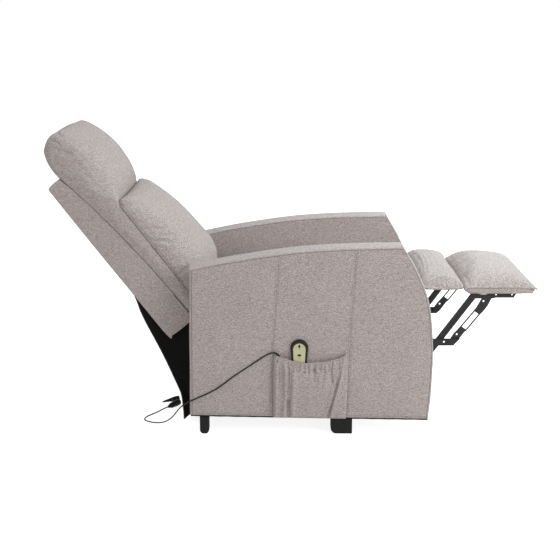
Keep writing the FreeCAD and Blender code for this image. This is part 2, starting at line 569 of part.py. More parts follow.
def legrest_motor():
    """Rail, motor housing and the trolley with its slotted upright plate."""
    pin = legrest_crank_pin()
    rail = box(-11, 11, REAR_CROSS[0] - 15, pin[0] + 40, MOTOR_RAIL_LOW, MOTOR_RAIL_TOP)
    save("legrest_motor_rail", rail)
    housing = box(-38, 38, REAR_CROSS[0] - 15, REAR_CROSS[0] + 75, MOTOR_RAIL_LOW - 14, MOTOR_RAIL_TOP + 26)
    housing = housing.makeFillet(9.0, [e for e in housing.Edges
                                       if abs(e.tangentAt(e.FirstParameter).y) > 0.9])
    housing = housing.cut(box(-11.3, 11.3, REAR_CROSS[0] - 16, REAR_CROSS[0] + 76,
                              MOTOR_RAIL_LOW - 0.3, MOTOR_RAIL_TOP + 0.3))
    housing = housing.cut(box(-20.3, 20.3, REAR_CROSS[0] - 16, REAR_CROSS[0] + 10.3,
                              MOTOR_RAIL_TOP - 1, MOTOR_RAIL_TOP + 30))
    save("legrest_motor_housing", housing)
    block = box(-19, 19, pin[0] - 32, pin[0] + 32, MOTOR_RAIL_LOW - 6, MOTOR_RAIL_TOP + 5)
    block = block.cut(box(-11.3, 11.3, pin[0] - 33, pin[0] + 33, MOTOR_RAIL_LOW - 0.3, MOTOR_RAIL_TOP + 0.3))
    low = P1[1] - CRANK - PIVOT_PIN - 2.0
    high = pin[1] + PIVOT_PIN + 2.0
    slot_half = PIVOT_PIN + YOKE_PLAY + 0.4
    yoke = box(-4, 4, pin[0] - slot_half - 9, pin[0] + slot_half + 9, MOTOR_RAIL_TOP + 5, high + 8)
    yoke = yoke.cut(box(-5, 5, pin[0] - slot_half, pin[0] + slot_half, low, high))
    save("legrest_trolley", block.fuse(yoke).removeSplitter())


# ---------------------------------------------------------------- footrest cushions
def footrest():
    """Boards and crowned cushions of the footrest."""
    inset = 14.0
    front_board = box(-HALF + inset, HALF - inset, OTTOMAN_REAR + 8, OTTOMAN_FRONT - inset,
                      OTTOMAN_BOARD_LOW, OTTOMAN_BOARD_LOW + OTTOMAN_BOARD)
    save("front_ottoman_board", front_board)
    mid_rear = MID_HINGE[0] + 3
    mid_board = box(-HALF + inset, HALF - inset, mid_rear, OTTOMAN_REAR - 12,
                    MID_BOARD_LOW, MID_BOARD_LOW + OTTOMAN_BOARD)
    save("mid_ottoman_board", mid_board)
    hinge_leaf = box(-180, 180, mid_rear, mid_rear + 26, MID_BOARD_LOW - 1.5, MID_BOARD_LOW)
    knuckle = rod_x(MID_HINGE, 3.4, -180, 180)
    neck = box(-180, 180, MID_HINGE[0], mid_rear + 2, MID_HINGE[1] + 1.2, MID_BOARD_LOW)
    moving = hinge_leaf.fuse([knuckle, neck]).removeSplitter()
    gaps = [box(x - 30.5, x + 30.5, MID_HINGE[0] - 6, MID_HINGE[0] + 4.2, MID_HINGE[1] - 6, MID_HINGE[1] + 3.9)
            for x in (-120, 0, 120)]
    moving = moving.cut(gaps[0].fuse(gaps[1:])).cut(rod_x(MID_HINGE, 1.5 + RUNNING, -181, 181))
    save("mid_hinge_leaf", moving)
    fixed = box(-180, 180, FRONT_RAIL_FACE, FRONT_RAIL_FACE + 1.5, FRONT_RAIL_TOP - 30, MID_HINGE[1] - 1.6)
    barrels = [rod_x(MID_HINGE, 3.4, x - 30, x + 30) for x in (-120, 0, 120)]
    arms_ = [box(x - 30, x + 30, FRONT_RAIL_FACE, MID_HINGE[0], MID_HINGE[1] - 3.4, MID_HINGE[1] - 1.6)
             for x in (-120, 0, 120)]
    fixed = fixed.fuse(barrels + arms_).removeSplitter().cut(rod_x(MID_HINGE, 1.5, -181, 181))
    save("seat_hinge_leaf", fixed, rod_x(MID_HINGE, 1.5, -180, 180))

    sections = []
    low = OTTOMAN_BOARD_LOW + OTTOMAN_BOARD
    for x, rise, pull in ((-HALF, 0.0, 0.0), (-HALF + 26, 0.55, 3.0), (-HALF + 110, 0.95, 5.0), (HALF - 110, 0.95, 5.0),
                          (HALF - 26, 0.55, 3.0), (HALF, 0.0, 0.0)):
        edge = low + 20.0
        crown = 40.0 * rise
        rear, front = OTTOMAN_REAR + 3.5, OTTOMAN_FRONT - pull
        points = [(front - 4, low), (front, low + 12), (front - 12, edge + crown * 0.35),
                  (front - 60, edge + crown * 0.86), (front - 120, edge + crown), (rear + 50, edge + crown * 0.86),
                  (rear + 12, edge + crown * 0.55), (rear, edge + crown * 0.1), (rear + 4, low)]
        sections.append(closed_profile(points, lambda f, z, x=x: at(x, f, z), 0))
    save("front_ottoman_cushion", Part.makeLoft(sections, True, False))

    sections = []
    low = MID_BOARD_LOW + OTTOMAN_BOARD
    for x, rise in ((-HALF, 0.0), (-HALF + 30, 0.6), (-HALF + 110, 1.0), (HALF - 110, 1.0), (HALF - 30, 0.6), (HALF, 0.0)):
        edge = low + 14.0
        crown = 36.0 * rise
        rear, front = MID_HINGE[0] + 8, OTTOMAN_REAR - 4.5
        points = [(front - 5, low), (front, edge), (front - 22, edge + crown * 0.62), (front - 70, edge + crown),
                  (rear + 30, edge + crown * 0.98), (rear + 4, edge + crown * 0.5), (rear, low + 6), (rear + 4, low)]
        sections.append(closed_profile(points, lambda f, z, x=x: at(x, f, z), 0))
    save("mid_ottoman_cushion", Part.makeLoft(sections, True, False))


# ---------------------------------------------------------------- back
PILLOW_FOOT = 462.0


def back():
    """Shell, lumbar cushion, head pillow and the brackets that the back swings on."""
    top = BACK_HEIGHT
    profile = [(0, 0), (top, 0), (top + 12, shell_front(top + 12)), (-BACK_DROP, shell_front(-BACK_DROP)),
               (-BACK_DROP, 24)]
    wire = Part.makePolygon([back_point(-HALF, *p) for p in profile + profile[:1]])
    shell = Part.Face(wire).extrude(Vector(2 * HALF, 0, 0))
    save("back_shell", shell)

    sections = []
    for x, crown in ((-HALF, 0.0), (-HALF + 32, 0.58), (-HALF + 105, 0.92), (0, 1.0),
                     (HALF - 105, 0.92), (HALF - 32, 0.58), (HALF, 0.0)):
        side = 150.0
        bulge = 120.0 * crown
        foot = 40.0
        points = [(foot, side - 8 + bulge * 0.60), (foot + 60, side + bulge * 0.88), (foot + 170, side + 4 + bulge),
                  (foot + 270, side + bulge * 0.94), (foot + 360, side + bulge * 0.72),
                  (PILLOW_FOOT - 5, side - 6 + bulge * 0.42),
                  (PILLOW_FOOT - 2, shell_front(PILLOW_FOOT - 2)), (foot, shell_front(foot))]
        sections.append(closed_profile(points, lambda u, v, x=x: back_point(x, u, v), 2))
    save("back_cushion", Part.makeLoft(sections, True, False))

    sections = []
    for x, size in ((-HALF, 0.0), (-HALF + 20, 0.6), (-HALF + 75, 0.94), (0, 1.0), (HALF - 75, 0.94),
                    (HALF - 20, 0.6), (HALF, 0.0)):
        grow = 34.0 * (size - 1.0)
        foot = PILLOW_FOOT
        step = top + 14
        points = [(foot, 182 + grow * 0.9), (foot + 60, 205 + grow), (foot + 130, 223 + grow),
                  (foot + 200, 222 + grow), (foot + 258, 200 + grow), (foot + 296 + grow * 0.4, 165 + grow * 0.8),
                  (foot + 315 + grow * 0.8, 125), (foot + 308 + grow, 90 - grow * 0.4),
                  (foot + 290 + grow, 63 - grow * 0.5), (foot + 248 + grow * 0.7, 50 - grow * 0.4),
                  (step, shell_front(step) + 4), (step, shell_front(step)), (foot, shell_front(foot))]
        sections.append(closed_profile(points, lambda u, v, x=x: back_point(x, u, v), 2))
    save("head_pillow", Part.makeLoft(sections, True, False))

    hub = back_side(*BACK_PIVOT)
    web = plate([back_side(-BACK_DROP, 36), back_side(-BACK_DROP, 108), back_side(-BACK_DROP - 0.5, 120), back_side(-6, 150), back_side(-2, 166),
                 back_side(-14, 176), back_side(-30, 170), back_side(-44, 140), back_side(-42, 60)],
                DRIVE_IN, STEEL_PLATE, [(hub, 7.0 + RUNNING)])
    save("back_brackets", *both(web))


def rear_skirt():
    """Cloth flap that hangs from the back's rear face to just above the floor."""
    thick = 2.5
    sections = []
    for i in range(9):
        x = -250.0 + 62.5 * i
        wave = 4.0 if i % 2 else -2.0
        hang = [(-500, 373), (-440, 249), (-392, 138), (-377 + wave * 0.6, 99), (-369 + wave, 14)]
        top_a, top_b = back_point(x, 250, -thick), back_point(x, 206, -thick)
        outer = [top_a, top_b] + [at(x, f, z) for f, z in hang]
        inner_top = [back_point(x, 206, 0), back_point(x, 250, 0)]
        inner = [at(x, f + thick * 1.1, z) for f, z in reversed(hang)]
        sections.append(Part.makePolygon(outer + inner + inner_top + outer[:1]))
    save("rear_skirt", Part.makeLoft(sections, True, True))


# ---------------------------------------------------------------- handset, pocket and cord
def oval(x0, x1, forward, up, width, height):
    """Rounded button shape, its straight axis along the longer side."""
    r = min(width, height) / 2.0
    if height >= width:
        ends = ((forward, up - height / 2 + r), (forward, up + height / 2 - r))
    else:
        ends = ((forward - width / 2 + r, up), (forward + width / 2 - r, up))
    return flat_link(ends[0], ends[1], r, x0, x1 - x0)


def rounded_slab(x0, thickness, centre, top, radius, foot, foot_half):
    """Slab with a half-round top and straight sides that draw in to a narrower foot."""
    start = at(x0, centre - radius, top - radius)
    end = at(x0, centre + radius, top - radius)
    crown = at(x0, centre, top)
    left, right = (at(x0, centre + way * radius * math.sqrt(0.5), top - radius * (1 - math.sqrt(0.5)))
                   for way in (-1, 1))
    corners = [end, at(x0, centre + foot_half, foot + 6), at(x0, centre + foot_half - 6, foot),
               at(x0, centre - foot_half + 6, foot), at(x0, centre - foot_half, foot + 6), start]
    edges = [Part.Arc(start, left, crown).toShape(), Part.Arc(crown, right, end).toShape()]
    edges += [Part.makeLine(a, b) for a, b in zip(corners[:-1], corners[1:])]
    return Part.Face(Part.Wire(edges)).extrude(Vector(thickness, 0, 0))


def handset():
    """Two-button handset standing in the pocket, and its face."""
    width, length, thick = HANDSET
    far = -ARM_OUTER - 0.3 - thick
    face_front = far - 1.0
    c, top = HANDSET_CENTRE, HANDSET_TOP
    rim = 9.0                    # black border round the face
    body = rounded_slab(far, thick, c, top, width / 2, top - length, width / 2 - 5)
    buttons = (("button_up", top - 21.5, 5.8, 11.0), ("button_down", top - 52.0, 12.0, 6.4))
    for name, z, w, h in buttons:
        body = body.cut(oval(far - 1, far + 4.0, c, z, w + 0.6, h + 0.6))
    save("handset_body", body)
    face = rounded_slab(face_front, 1.0, c, top - rim - 3, width / 2 - rim, top - 132, width / 2 - rim - 5)
    for name, z, w, h in buttons:
        face = face.cut(oval(face_front - 1, far + 0.1, c, z, w + 0.6, h + 0.6))
        save(name, oval(face_front - 0.9, far + 2.4, c, z, w, h))
    save("handset_face", face)


POCKET = (-60.0, 186.0)      # rear and front edge of the pocket
POCKET_LOW = 58.0


def pocket_section(z, depth, inset, inner):
    """Plan outline of the pocket at one height: a bulge with soft folds over the arm face."""
    f0, f1 = POCKET[0] + inner, POCKET[1] - inner
    face = -ARM_OUTER
    count = 15
    points = []
    for i in range(count):
        t = i / (count - 1.0)
        f = f0 + (f1 - f0) * t
        over_handset = math.exp(-((f - HANDSET_CENTRE) / 62.0) ** 4)
        dome = math.sin(math.pi * t) ** 0.22 if 0 < i < count - 1 else 0.0
        fold = 1.3 * math.sin(i * 2.1 + z * 0.013) * dome * inset * (1.0 - over_handset)
        bulge = max(depth * dome * (0.76 + 0.24 * over_handset) + fold, 0.0)
        points.append(Vector(face - max(bulge - inner, 0.0), -f, z))
    spline = Part.BSplineCurve()
    spline.interpolate(points[1:-1])
    edges = [Part.makeLine(points[0], points[1]), spline.toShape(), Part.makeLine(points[-2], points[-1]),
             Part.makeLine(points[-1], points[0])]
    return Part.Wire(edges)


def handset_pocket():
    """Open-topped cloth pocket on the right arm, with its gathered top dipping in the middle."""
    wall = 1.5
    levels = ((POCKET_LOW, 5.0, 0.0), (POCKET_LOW + 30, 11.0, 0.5), (POCKET_LOW + 80, 16.5, 1.0),
              (POCKET_LOW + 120, 17.6, 1.0), (POCKET_LOW + 235, 17.6, 1.0))
    outer = Part.makeLoft([pocket_section(z, d, fold, 0.0) for z, d, fold in levels], True, False)
    raised = [(z + (wall if i == 0 else 0.0) + (6.0 if i == len(levels) - 1 else 0.0), d, fold)
              for i, (z, d, fold) in enumerate(levels)]
    inner = Part.makeLoft([pocket_section(z, d, fold, wall) for z, d, fold in raised], True, False)
    mouth = Part.BSplineCurve()
    x = -ARM_OUTER - 60
    mouth.interpolate([at(x, POCKET[0] - 4, 279), at(x, -30, 273), at(x, 20, 261), at(x, 62, 256.5), at(x, 109, 259),
                       at(x, 156, 270), at(x, POCKET[1] + 4, 286)])
    over = Part.Wire([mouth.toShape(), Part.makeLine(at(x, POCKET[1] + 4, 286), at(x, POCKET[1] + 4, 340)),
                      Part.makeLine(at(x, POCKET[1] + 4, 340), at(x, POCKET[0] - 4, 340)),
                      Part.makeLine(at(x, POCKET[0] - 4, 340), at(x, POCKET[0] - 4, 279))])
    above = Part.Face(over).extrude(Vector(61, 0, 0))
    save("handset_pocket", outer.cut(inner).cut(above))


def rounded_path(points, share=0.45):
    """Straight runs joined by tangent arcs; each arc is as large as its two runs allow."""
    edges = []
    radii = []
    start = points[0]
    for before, corner, after in zip(points[:-2], points[1:-1], points[2:]):
        a, b = (before - corner), (after - corner)
        run = min(a.Length, b.Length)
        a.normalize()
        b.normalize()
        turn = math.pi - a.getAngle(b)
        setback = share * run
        radii.append(setback / math.tan(turn / 2.0))
        enter, leave = corner + a * setback, corner + b * setback
        middle_dir = (a + b)
        middle_dir.normalize()
        centre_gap = radii[-1] / math.cos(turn / 2.0)
        middle = corner + middle_dir * (centre_gap - radii[-1])
        edges.append(Part.makeLine(start, enter))
        edges.append(Part.Arc(enter, middle, leave).toShape())
        start = leave
    edges.append(Part.makeLine(start, points[-1]))
    return Part.Wire(edges), radii


PLUG_RADIUS = 10.0
CONNECTOR_RUN = (60.0, 35.0)         # direction of the plug on the floor, across and forward
BRANCH_RUN = (48.0, 56.0)            # direction of the branch that leaves the socket
BRANCH_TAIL = (-52.0, -459.0, 11.6)  # the branch's thin end
CORD_ROUTE = [(-371.5, 28, 181.7), (-371.5, 27, 160), (-371, 17, 141), (-370.5, -1, 137), (-370, -17, 150),
              (-370, -24, 180), (-370, -27, 218), (-370, -31, 252), (-369.5, -38, 277), (-369, -54, 288),
              (-369, -76, 282), (-368.6, -108, 261), (-368.4, -150, 232), (-368.4, -196, 201), (-368.4, -238, 166),
              (-368.4, -284, 141), (-368.4, -330, 122), (-357, -366, 98), (-328, -386, 66), (-297, -404, 36),
              (-272, -430, 12), (-253, -460, 2.5), (-240, -488, 2.3), (-219, -508, 2.3), (-192, -505, 2.3),
              (-163, -488, 2.3), (-140, -467, 4.0), (-121, -447, 10.4), (-109, -434, 11.6)]


def cord():
    """Handset cord: out of the handset, over the pocket's rim, along the arm, in a loop on the floor."""
    points = [at(*p) for p in CORD_ROUTE]
    path, radii = rounded_path(points)
    ring = Part.Wire(Part.makeCircle(CORD_DIAMETER / 2.0, points[0], points[1] - points[0]))
    tube = path.makePipeShell([ring], True, False)
    area = math.pi * CORD_DIAMETER ** 2 / 4.0
    print("cord length %.0f mm, volume ratio %.4f" % (path.Length, tube.Volume / (area * path.Length)))
    print("cord radii", " ".join("%.0f" % r for r in radii))
    save("handset_cord", tube)
    connectors(points[-1])


def connectors(start):
    """Plug and socket lying on the floor, and the tapered branch that leaves the socket."""
    along = Vector(CONNECTOR_RUN[0], -CONNECTOR_RUN[1], 0)
    along.normalize()
    plug = Part.makeCone(CORD_DIAMETER / 2 + 1.2, PLUG_RADIUS, 22.0, start, along)
    plug = plug.fuse(Part.makeCylinder(PLUG_RADIUS, 18.0, start + along * 22.0, along)).removeSplitter()
    save("cord_plug", plug)
    base = start + along * 40.0
    socket = Part.makeCylinder(PLUG_RADIUS + 1.3, 26.0, base, along)
    socket = socket.makeFillet(2.0, [e for e in socket.Edges if e.Closed])
    branch_axis = Vector(BRANCH_RUN[0], -BRANCH_RUN[1], 0)
    branch_axis.normalize()
    tail = at(*BRANCH_TAIL)
    branch = Part.makeCone(2.4, 8.6, 52.0, tail, branch_axis).fuse(
        Part.makeCylinder(8.6, 18.0, tail + branch_axis * 52.0, branch_axis)).removeSplitter()
    root = base + along * 13.0
    neck_end = tail + branch_axis * 36.0
    neck = Part.makeCylinder(4.6, (neck_end - root).Length, root, neck_end - root)
    neck = neck.cut(branch).cut(socket)
    save("cord_socket", socket.fuse([neck, branch]).removeSplitter())


base_frame()
base_feet()
base_plates()
lift_motor()
lift_rod()
lift_links()
lift_frame()
side_plates()
chassis_tubes()
seat_frame()
seat_straps()
seat_cushion()
arms()
legrest()
linkage_rivets()
legrest_motor()
footrest()
back()
rear_skirt()
handset()
handset_pocket()
cord()
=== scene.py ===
"""Lift recliner chair: upholstery, cord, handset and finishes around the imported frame.

Metres, X across, -Y to the front, Z up. Profiles in a side plane are written (forward, up) in millimetres
and turned into metres where they are used, so forward is -Y.
"""
import math

import bmesh
import bpy
import numpy as np
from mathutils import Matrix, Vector
from mathutils.bvhtree import BVHTree


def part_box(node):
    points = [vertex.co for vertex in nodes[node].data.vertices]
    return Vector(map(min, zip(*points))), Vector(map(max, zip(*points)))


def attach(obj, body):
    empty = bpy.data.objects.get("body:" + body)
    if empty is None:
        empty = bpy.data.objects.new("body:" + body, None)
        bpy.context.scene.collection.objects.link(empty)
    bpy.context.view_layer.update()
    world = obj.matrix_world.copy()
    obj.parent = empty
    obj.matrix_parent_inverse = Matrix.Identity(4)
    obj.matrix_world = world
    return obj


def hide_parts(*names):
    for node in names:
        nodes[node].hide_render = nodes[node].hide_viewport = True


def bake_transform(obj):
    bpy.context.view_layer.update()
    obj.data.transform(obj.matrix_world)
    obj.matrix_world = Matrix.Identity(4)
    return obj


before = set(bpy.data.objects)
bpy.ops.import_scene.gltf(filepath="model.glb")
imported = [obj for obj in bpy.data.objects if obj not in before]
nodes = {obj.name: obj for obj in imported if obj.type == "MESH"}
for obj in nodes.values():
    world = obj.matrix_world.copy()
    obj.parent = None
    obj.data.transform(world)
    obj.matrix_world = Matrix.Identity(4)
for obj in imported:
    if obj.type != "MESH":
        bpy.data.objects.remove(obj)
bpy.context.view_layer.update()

# The back's own axes: s runs up it and n forward out of it, from the lower rear corner of its shell.
LEAN = math.radians(37.5)
BACK_CORNER = (-412.0, 312.0)
BACK_HALF = 258.0
CUSHION_HALF = 256.0
ARM_OUT = 365.0
ARM_IN = 265.0

CORD_ROUTE = [
    (-371.5, 28, 181.7), (-371.5, 27, 160), (-371, 17, 141), (-370.5, -1, 137), (-370, -17, 150),
    (-370, -24, 180), (-370, -27, 218), (-370, -31, 252), (-369.5, -38, 277), (-369, -54, 288),
    (-369, -76, 282), (-368.6, -108, 261), (-368.4, -150, 232), (-368.4, -196, 201), (-368.4, -238, 166),
    (-368.4, -284, 141), (-368.4, -330, 122), (-357, -366, 98), (-328, -386, 66), (-297, -404, 36),
    (-272, -430, 12), (-253, -460, 2.5), (-240, -488, 2.3), (-219, -508, 2.3), (-192, -505, 2.3),
    (-163, -488, 2.3), (-140, -467, 4.0), (-121, -447, 10.4), (-109, -434, 11.6)]
CORD_THICK = 0.0045


# ---------------------------------------------------------------- camera, light and floor
def camera():
    """Looks across the chair from its right-hand side, 12.5 degrees down."""
    lens = bpy.data.cameras.new("camera")
    lens.lens = 75.9
    lens.sensor_width = 36.0
    eye = bpy.data.objects.new("camera", lens)
    eye.location = (-4.108, 0.0365, 1.361)
    eye.rotation_euler = (math.radians(90 - 12.512), 0, math.radians(-90))
    bpy.context.scene.collection.objects.link(eye)
    bpy.context.scene.camera = eye


def lamp(name, place, aim, size, strength, colour=(1, 1, 1)):
    """Square soft lamp: power = radiance * pi * size squared."""
    light = bpy.data.lights.new(name, "AREA")
    light.shape = "SQUARE"
    light.size = size
    light.energy = strength * math.pi * size * size
    light.color = colour
    obj = bpy.data.objects.new(name, light)
    obj.location = place
    obj.rotation_euler = (Vector(aim) - Vector(place)).to_track_quat("-Z", "Y").to_euler()
    bpy.context.scene.collection.objects.link(obj)


# ---------------------------------------------------------------- shader expressions
class Value:
    """A shader socket that adds its own Math nodes when it is used in an expression."""

    def __init__(self, maker, out):
        self.maker = maker
        self.out = out

    def _math(self, operation, *others, first=None):
        inputs = [self if first is None else first, *others]
        return self.maker.node("ShaderNodeMath", {"operation": operation}, dict(enumerate(inputs)))

    def __add__(self, other):
        return self._math("ADD", other)

    def __mul__(self, other):
        return self._math("MULTIPLY", other)

    def __sub__(self, other):
        return self._math("SUBTRACT", other)

    def __rsub__(self, other):
        return self._math("SUBTRACT", self, first=other)

    __radd__ = __add__
    __rmul__ = __mul__

    def sin(self):
        return self._math("SINE")

    def abs(self):
        return self._math("ABSOLUTE")

    def above(self, edge):
        return self._math("GREATER_THAN", edge)

    def largest(self, other):
        return self._math("MAXIMUM", other)

    def clip(self):
        return self.maker.node("ShaderNodeClamp", {}, {0: self})

    def smooth(self, low, high):
        """0 below low, 1 above high, and a smooth step between them."""
        return self.maker.node("ShaderNodeMapRange", {"interpolation_type": "SMOOTHSTEP"},
                               {0: self, 1: low, 2: high, 3: 0.0, 4: 1.0})


class Finish:
    """A material under construction, with the Principled shader as its surface."""

    def __init__(self, name, **constants):
        self.material = bpy.data.materials.new(name)
        self.material.use_nodes = True
        self.tree = self.material.node_tree
        self.shader = self.tree.nodes["Principled BSDF"]
        for key, value in constants.items():
            self.set(key.replace("_", " "), value)

    def node(self, kind, settings, inputs, output=0):
        """One node: its settings first, then a number, colour or link for each socket."""
        made = self.tree.nodes.new(kind)
        for key, value in settings.items():
            setattr(made, key, value)
        for key, value in inputs.items():
            self.feed(made.inputs[key], value)
        return Value(self, made.outputs[output])

    def feed(self, socket, value):
        if isinstance(value, Value):
            self.tree.links.new(value.out, socket)
        else:
            socket.default_value = value

    def set(self, key, value):
        if key == "Base Color" and not isinstance(value, Value) and len(value) == 3:
            value = (*value, 1.0)
        self.feed(self.shader.inputs[key], value)

    def mix(self, mask, first, second):
        """Colour first where mask is 0, second where it is 1."""
        first, second = (v if isinstance(v, Value) else (*v, 1.0) for v in (first, second))
        return self.node("ShaderNodeMix", {"data_type": "RGBA"}, {0: mask, 6: first, 7: second}, 2)

    def scaled(self, colour, by):
        """Colour times one number that varies over the surface."""
        colour = colour if isinstance(colour, Value) else self.node("ShaderNodeCombineXYZ", {},
                                                                    dict(enumerate(colour)))
        return self.node("ShaderNodeVectorMath", {"operation": "SCALE"}, {0: colour, 3: by})

    def vector(self, x, y, z):
        return self.node("ShaderNodeCombineXYZ", {}, {0: x, 1: y, 2: z})

    def split(self, vector):
        made = self.tree.nodes.new("ShaderNodeSeparateXYZ")
        self.feed(made.inputs[0], vector)
        return [Value(self, out) for out in made.outputs]

    def place(self):
        return self.node("ShaderNodeTexCoord", {}, {}, 3)

    def facing(self):
        return self.node("ShaderNodeTexCoord", {}, {}, 1)

    def turned(self, vector, angle):
        """Vector turned about X, so a pattern follows a leaning piece."""
        if not angle:
            return vector
        return self.node("ShaderNodeVectorRotate", {"rotation_type": "X_AXIS"}, {0: vector, 3: angle})

    def noise(self, vector, scale, detail=2.0, rough=0.5):
        return self.node("ShaderNodeTexNoise", {"noise_dimensions": "3D"},
                         {"Vector": vector, "Scale": scale, "Detail": detail, "Roughness": rough})

    def bump(self, height, distance, strength):
        inputs = {"Height": height, "Distance": distance, "Strength": strength}
        self.set("Normal", self.node("ShaderNodeBump", {}, inputs))


# ---------------------------------------------------------------- finishes
GREIGE = (0.487, 0.412, 0.389)


def cloth_plane(f, angle):
    """Two thread directions on the cloth: the face that a point looks towards chooses its plane."""
    x, y, z = f.split(f.turned(f.place(), angle))
    nx, ny, nz = (part.abs() for part in f.split(f.turned(f.facing(), angle)))
    sideways = nx.above(ny.largest(nz))
    flat = nz.above(ny) * (1 - sideways)
    across = sideways * y + (1 - sideways) * x
    along = flat * y + (1 - flat) * z
    return across, along


def woven(name, colour, angle=0.0, contrast=1.0, shade=1.0):
    """Melange plain weave: long pale and dark fibres in both thread directions over a fine over-and-under
    weave, height = sin(across) * sin(along)."""
    f = Finish(name, Roughness=0.92, Specular_IOR_Level=0.18, Sheen_Weight=0.12, Sheen_Roughness=0.6)
    across, along = cloth_plane(f, angle)
    weft = f.noise(f.vector(across * 260, along * 760, 0.3), 1.0, 1.0, 0.5)
    warp = f.noise(f.vector(across * 760, along * 300, 7.1), 1.0, 1.0, 0.5)
    slub = f.noise(f.vector(across * 60, along * 330, 3.7), 1.0, 1.0)
    cloud = f.noise(f.place(), 9.0, 3.0)
    pitch = 2 * math.pi / 0.0021
    thread = (across * pitch).sin() * (along * pitch).sin()
    tone = (weft - 0.5) * (2.1 * contrast) + (warp - 0.5) * (1.8 * contrast)
    tone = tone + (slub - 0.5) * (0.35 * contrast) + (cloud - 0.5) * 0.10
    tone = tone + thread * 0.05 + shade
    warm = f.mix(weft.smooth(0.42, 0.62), [c * k for c, k in zip(colour, (1.03, 0.99, 0.96))],
                 [c * k for c, k in zip(colour, (0.975, 1.008, 1.035))])
    f.set("Base Color", f.scaled(warm, tone.largest(0.12)))
    f.set("Roughness", (weft * 0.14 + 0.82).clip())
    f.bump(thread * 0.5 + weft * 0.8 + warp * 0.7, 0.0007, 0.55)
    return f.material


def black_cloth():
    """Spunbonded black lining: dark felt with random fibres and faint square bonding dots."""
    f = Finish("black_lining", Roughness=0.95, Specular_IOR_Level=0.12)
    place = f.place()
    across, along = cloth_plane(f, 0.0)
    fibre = f.noise(place, 260.0, 4.0, 0.7)
    dots = ((across * 2400).sin() * (along * 2400).sin()).smooth(0.55, 0.85)
    tone = fibre * 0.9 + 0.55 - dots * 0.25
    f.set("Base Color", f.scaled((0.0095, 0.0088, 0.0083), tone))
    f.bump(fibre - dots * 0.4, 0.0006, 0.5)
    return f.material


def painted_steel():
    """Black powder coat on steel: fine orange peel, duller where hands and links rub it."""
    f = Finish("black_powder_coat", Metallic=0.0, Specular_IOR_Level=0.30, Coat_Weight=0.06,
               Coat_Roughness=0.35)
    place = f.place()
    peel = f.noise(place, 900.0, 2.0)
    wear = f.noise(place, 30.0, 4.0, 0.6)
    dust = f.noise(place, 140.0, 3.0, 0.6)
    tone = wear * 0.5 + dust * 0.3 + 0.62
    f.set("Base Color", f.scaled((0.0145, 0.0138, 0.0133), tone))
    f.set("Roughness", (wear * 0.22 + 0.40).clip())
    f.bump(peel, 0.00025, 0.35)
    return f.material


def plated_steel():
    """Bright zinc plate on pins and rivets, with a faint rolled grain and tarnish."""
    f = Finish("bright_zinc", Metallic=1.0)
    place = f.place()
    x, y, z = f.split(place)
    grain = f.noise(f.vector(x * 40, y * 700, z * 700), 1.0, 2.0)
    tarnish = f.noise(place, 120.0, 3.0)
    f.set("Base Color", f.scaled((0.74, 0.73, 0.70), tarnish * 0.35 + 0.80))
    f.set("Roughness", (tarnish * 0.25 + grain * 0.15 + 0.18).clip())
    f.bump(grain, 0.00008, 0.3)
    return f.material


def moulded(name, colour, rough=0.5, grain=700.0, depth=0.00018, coat=0.0):
    """Injection-moulded plastic with a spark-eroded grain and slightly uneven gloss."""
    f = Finish(name, Specular_IOR_Level=0.14, Coat_Weight=coat, Coat_Roughness=0.10)
    place = f.place()
    pits = f.noise(place, grain, 3.0, 0.6)
    gloss = f.noise(place, 45.0, 3.0)
    f.set("Base Color", f.scaled(colour, pits * 0.16 + gloss * 0.18 + 0.83))
    f.set("Roughness", (gloss * 0.2 + pits * 0.1 + rough - 0.15).clip())
    f.bump(pits, depth, 0.35)
    return f.material


def plywood():
    """Birch plywood: long grain along X, and plies across the thickness on cut edges."""
    f = Finish("birch_plywood", Roughness=0.7, Specular_IOR_Level=0.3)
    x, y, z = f.split(f.place())
    grain = f.noise(f.vector(x * 6, y * 90, z * 60), 1.0, 4.0, 0.6)
    rings = (y * 260 + grain * 14).sin() * 0.5 + 0.5
    plies = ((z * 4200).sin() * 0.5 + 0.5) * 0.12
    colour = f.mix((grain * 0.7 + rings * 0.3).clip(), (0.56, 0.37, 0.20), (0.73, 0.55, 0.34))
    f.set("Base Color", f.scaled(colour, 1.0 - plies))
    f.bump(grain + rings * 0.2, 0.0003, 0.4)
    return f.material


def webbing_cloth():
    """Woven polypropylene seat webbing: ribs along its length and a chevron across it."""
    f = Finish("seat_webbing", Roughness=0.75, Specular_IOR_Level=0.3)
    x, y, _ = f.split(f.place())
    rib = (x * 1400).sin() * 0.5 + 0.5
    weft = (y * 1100 + (x * 1400).sin() * 1.6).sin() * 0.5 + 0.5
    f.set("Base Color", f.scaled((0.030, 0.028, 0.026), rib * 0.5 + weft * 0.5 + 0.5))
    f.bump(rib * 0.6 + weft, 0.0007, 0.6)
    return f.material


def cream_face():
    """Satin cream-gold membrane of the handset, brushed down its length."""
    f = Finish("handset_cream", Specular_IOR_Level=0.5, Coat_Weight=0.35, Coat_Roughness=0.12)
    x, y, z = f.split(f.place())
    brush = f.noise(f.vector(x * 300, y * 2600, z * 60), 1.0, 2.0)
    fade = f.noise(f.place(), 60.0, 2.0)
    f.set("Base Color", f.scaled((0.560, 0.525, 0.295), brush * 0.14 + fade * 0.10 + 0.88))
    f.set("Roughness", (brush * 0.2 + 0.28).clip())
    f.bump(brush, 0.00006, 0.3)
    return f.material


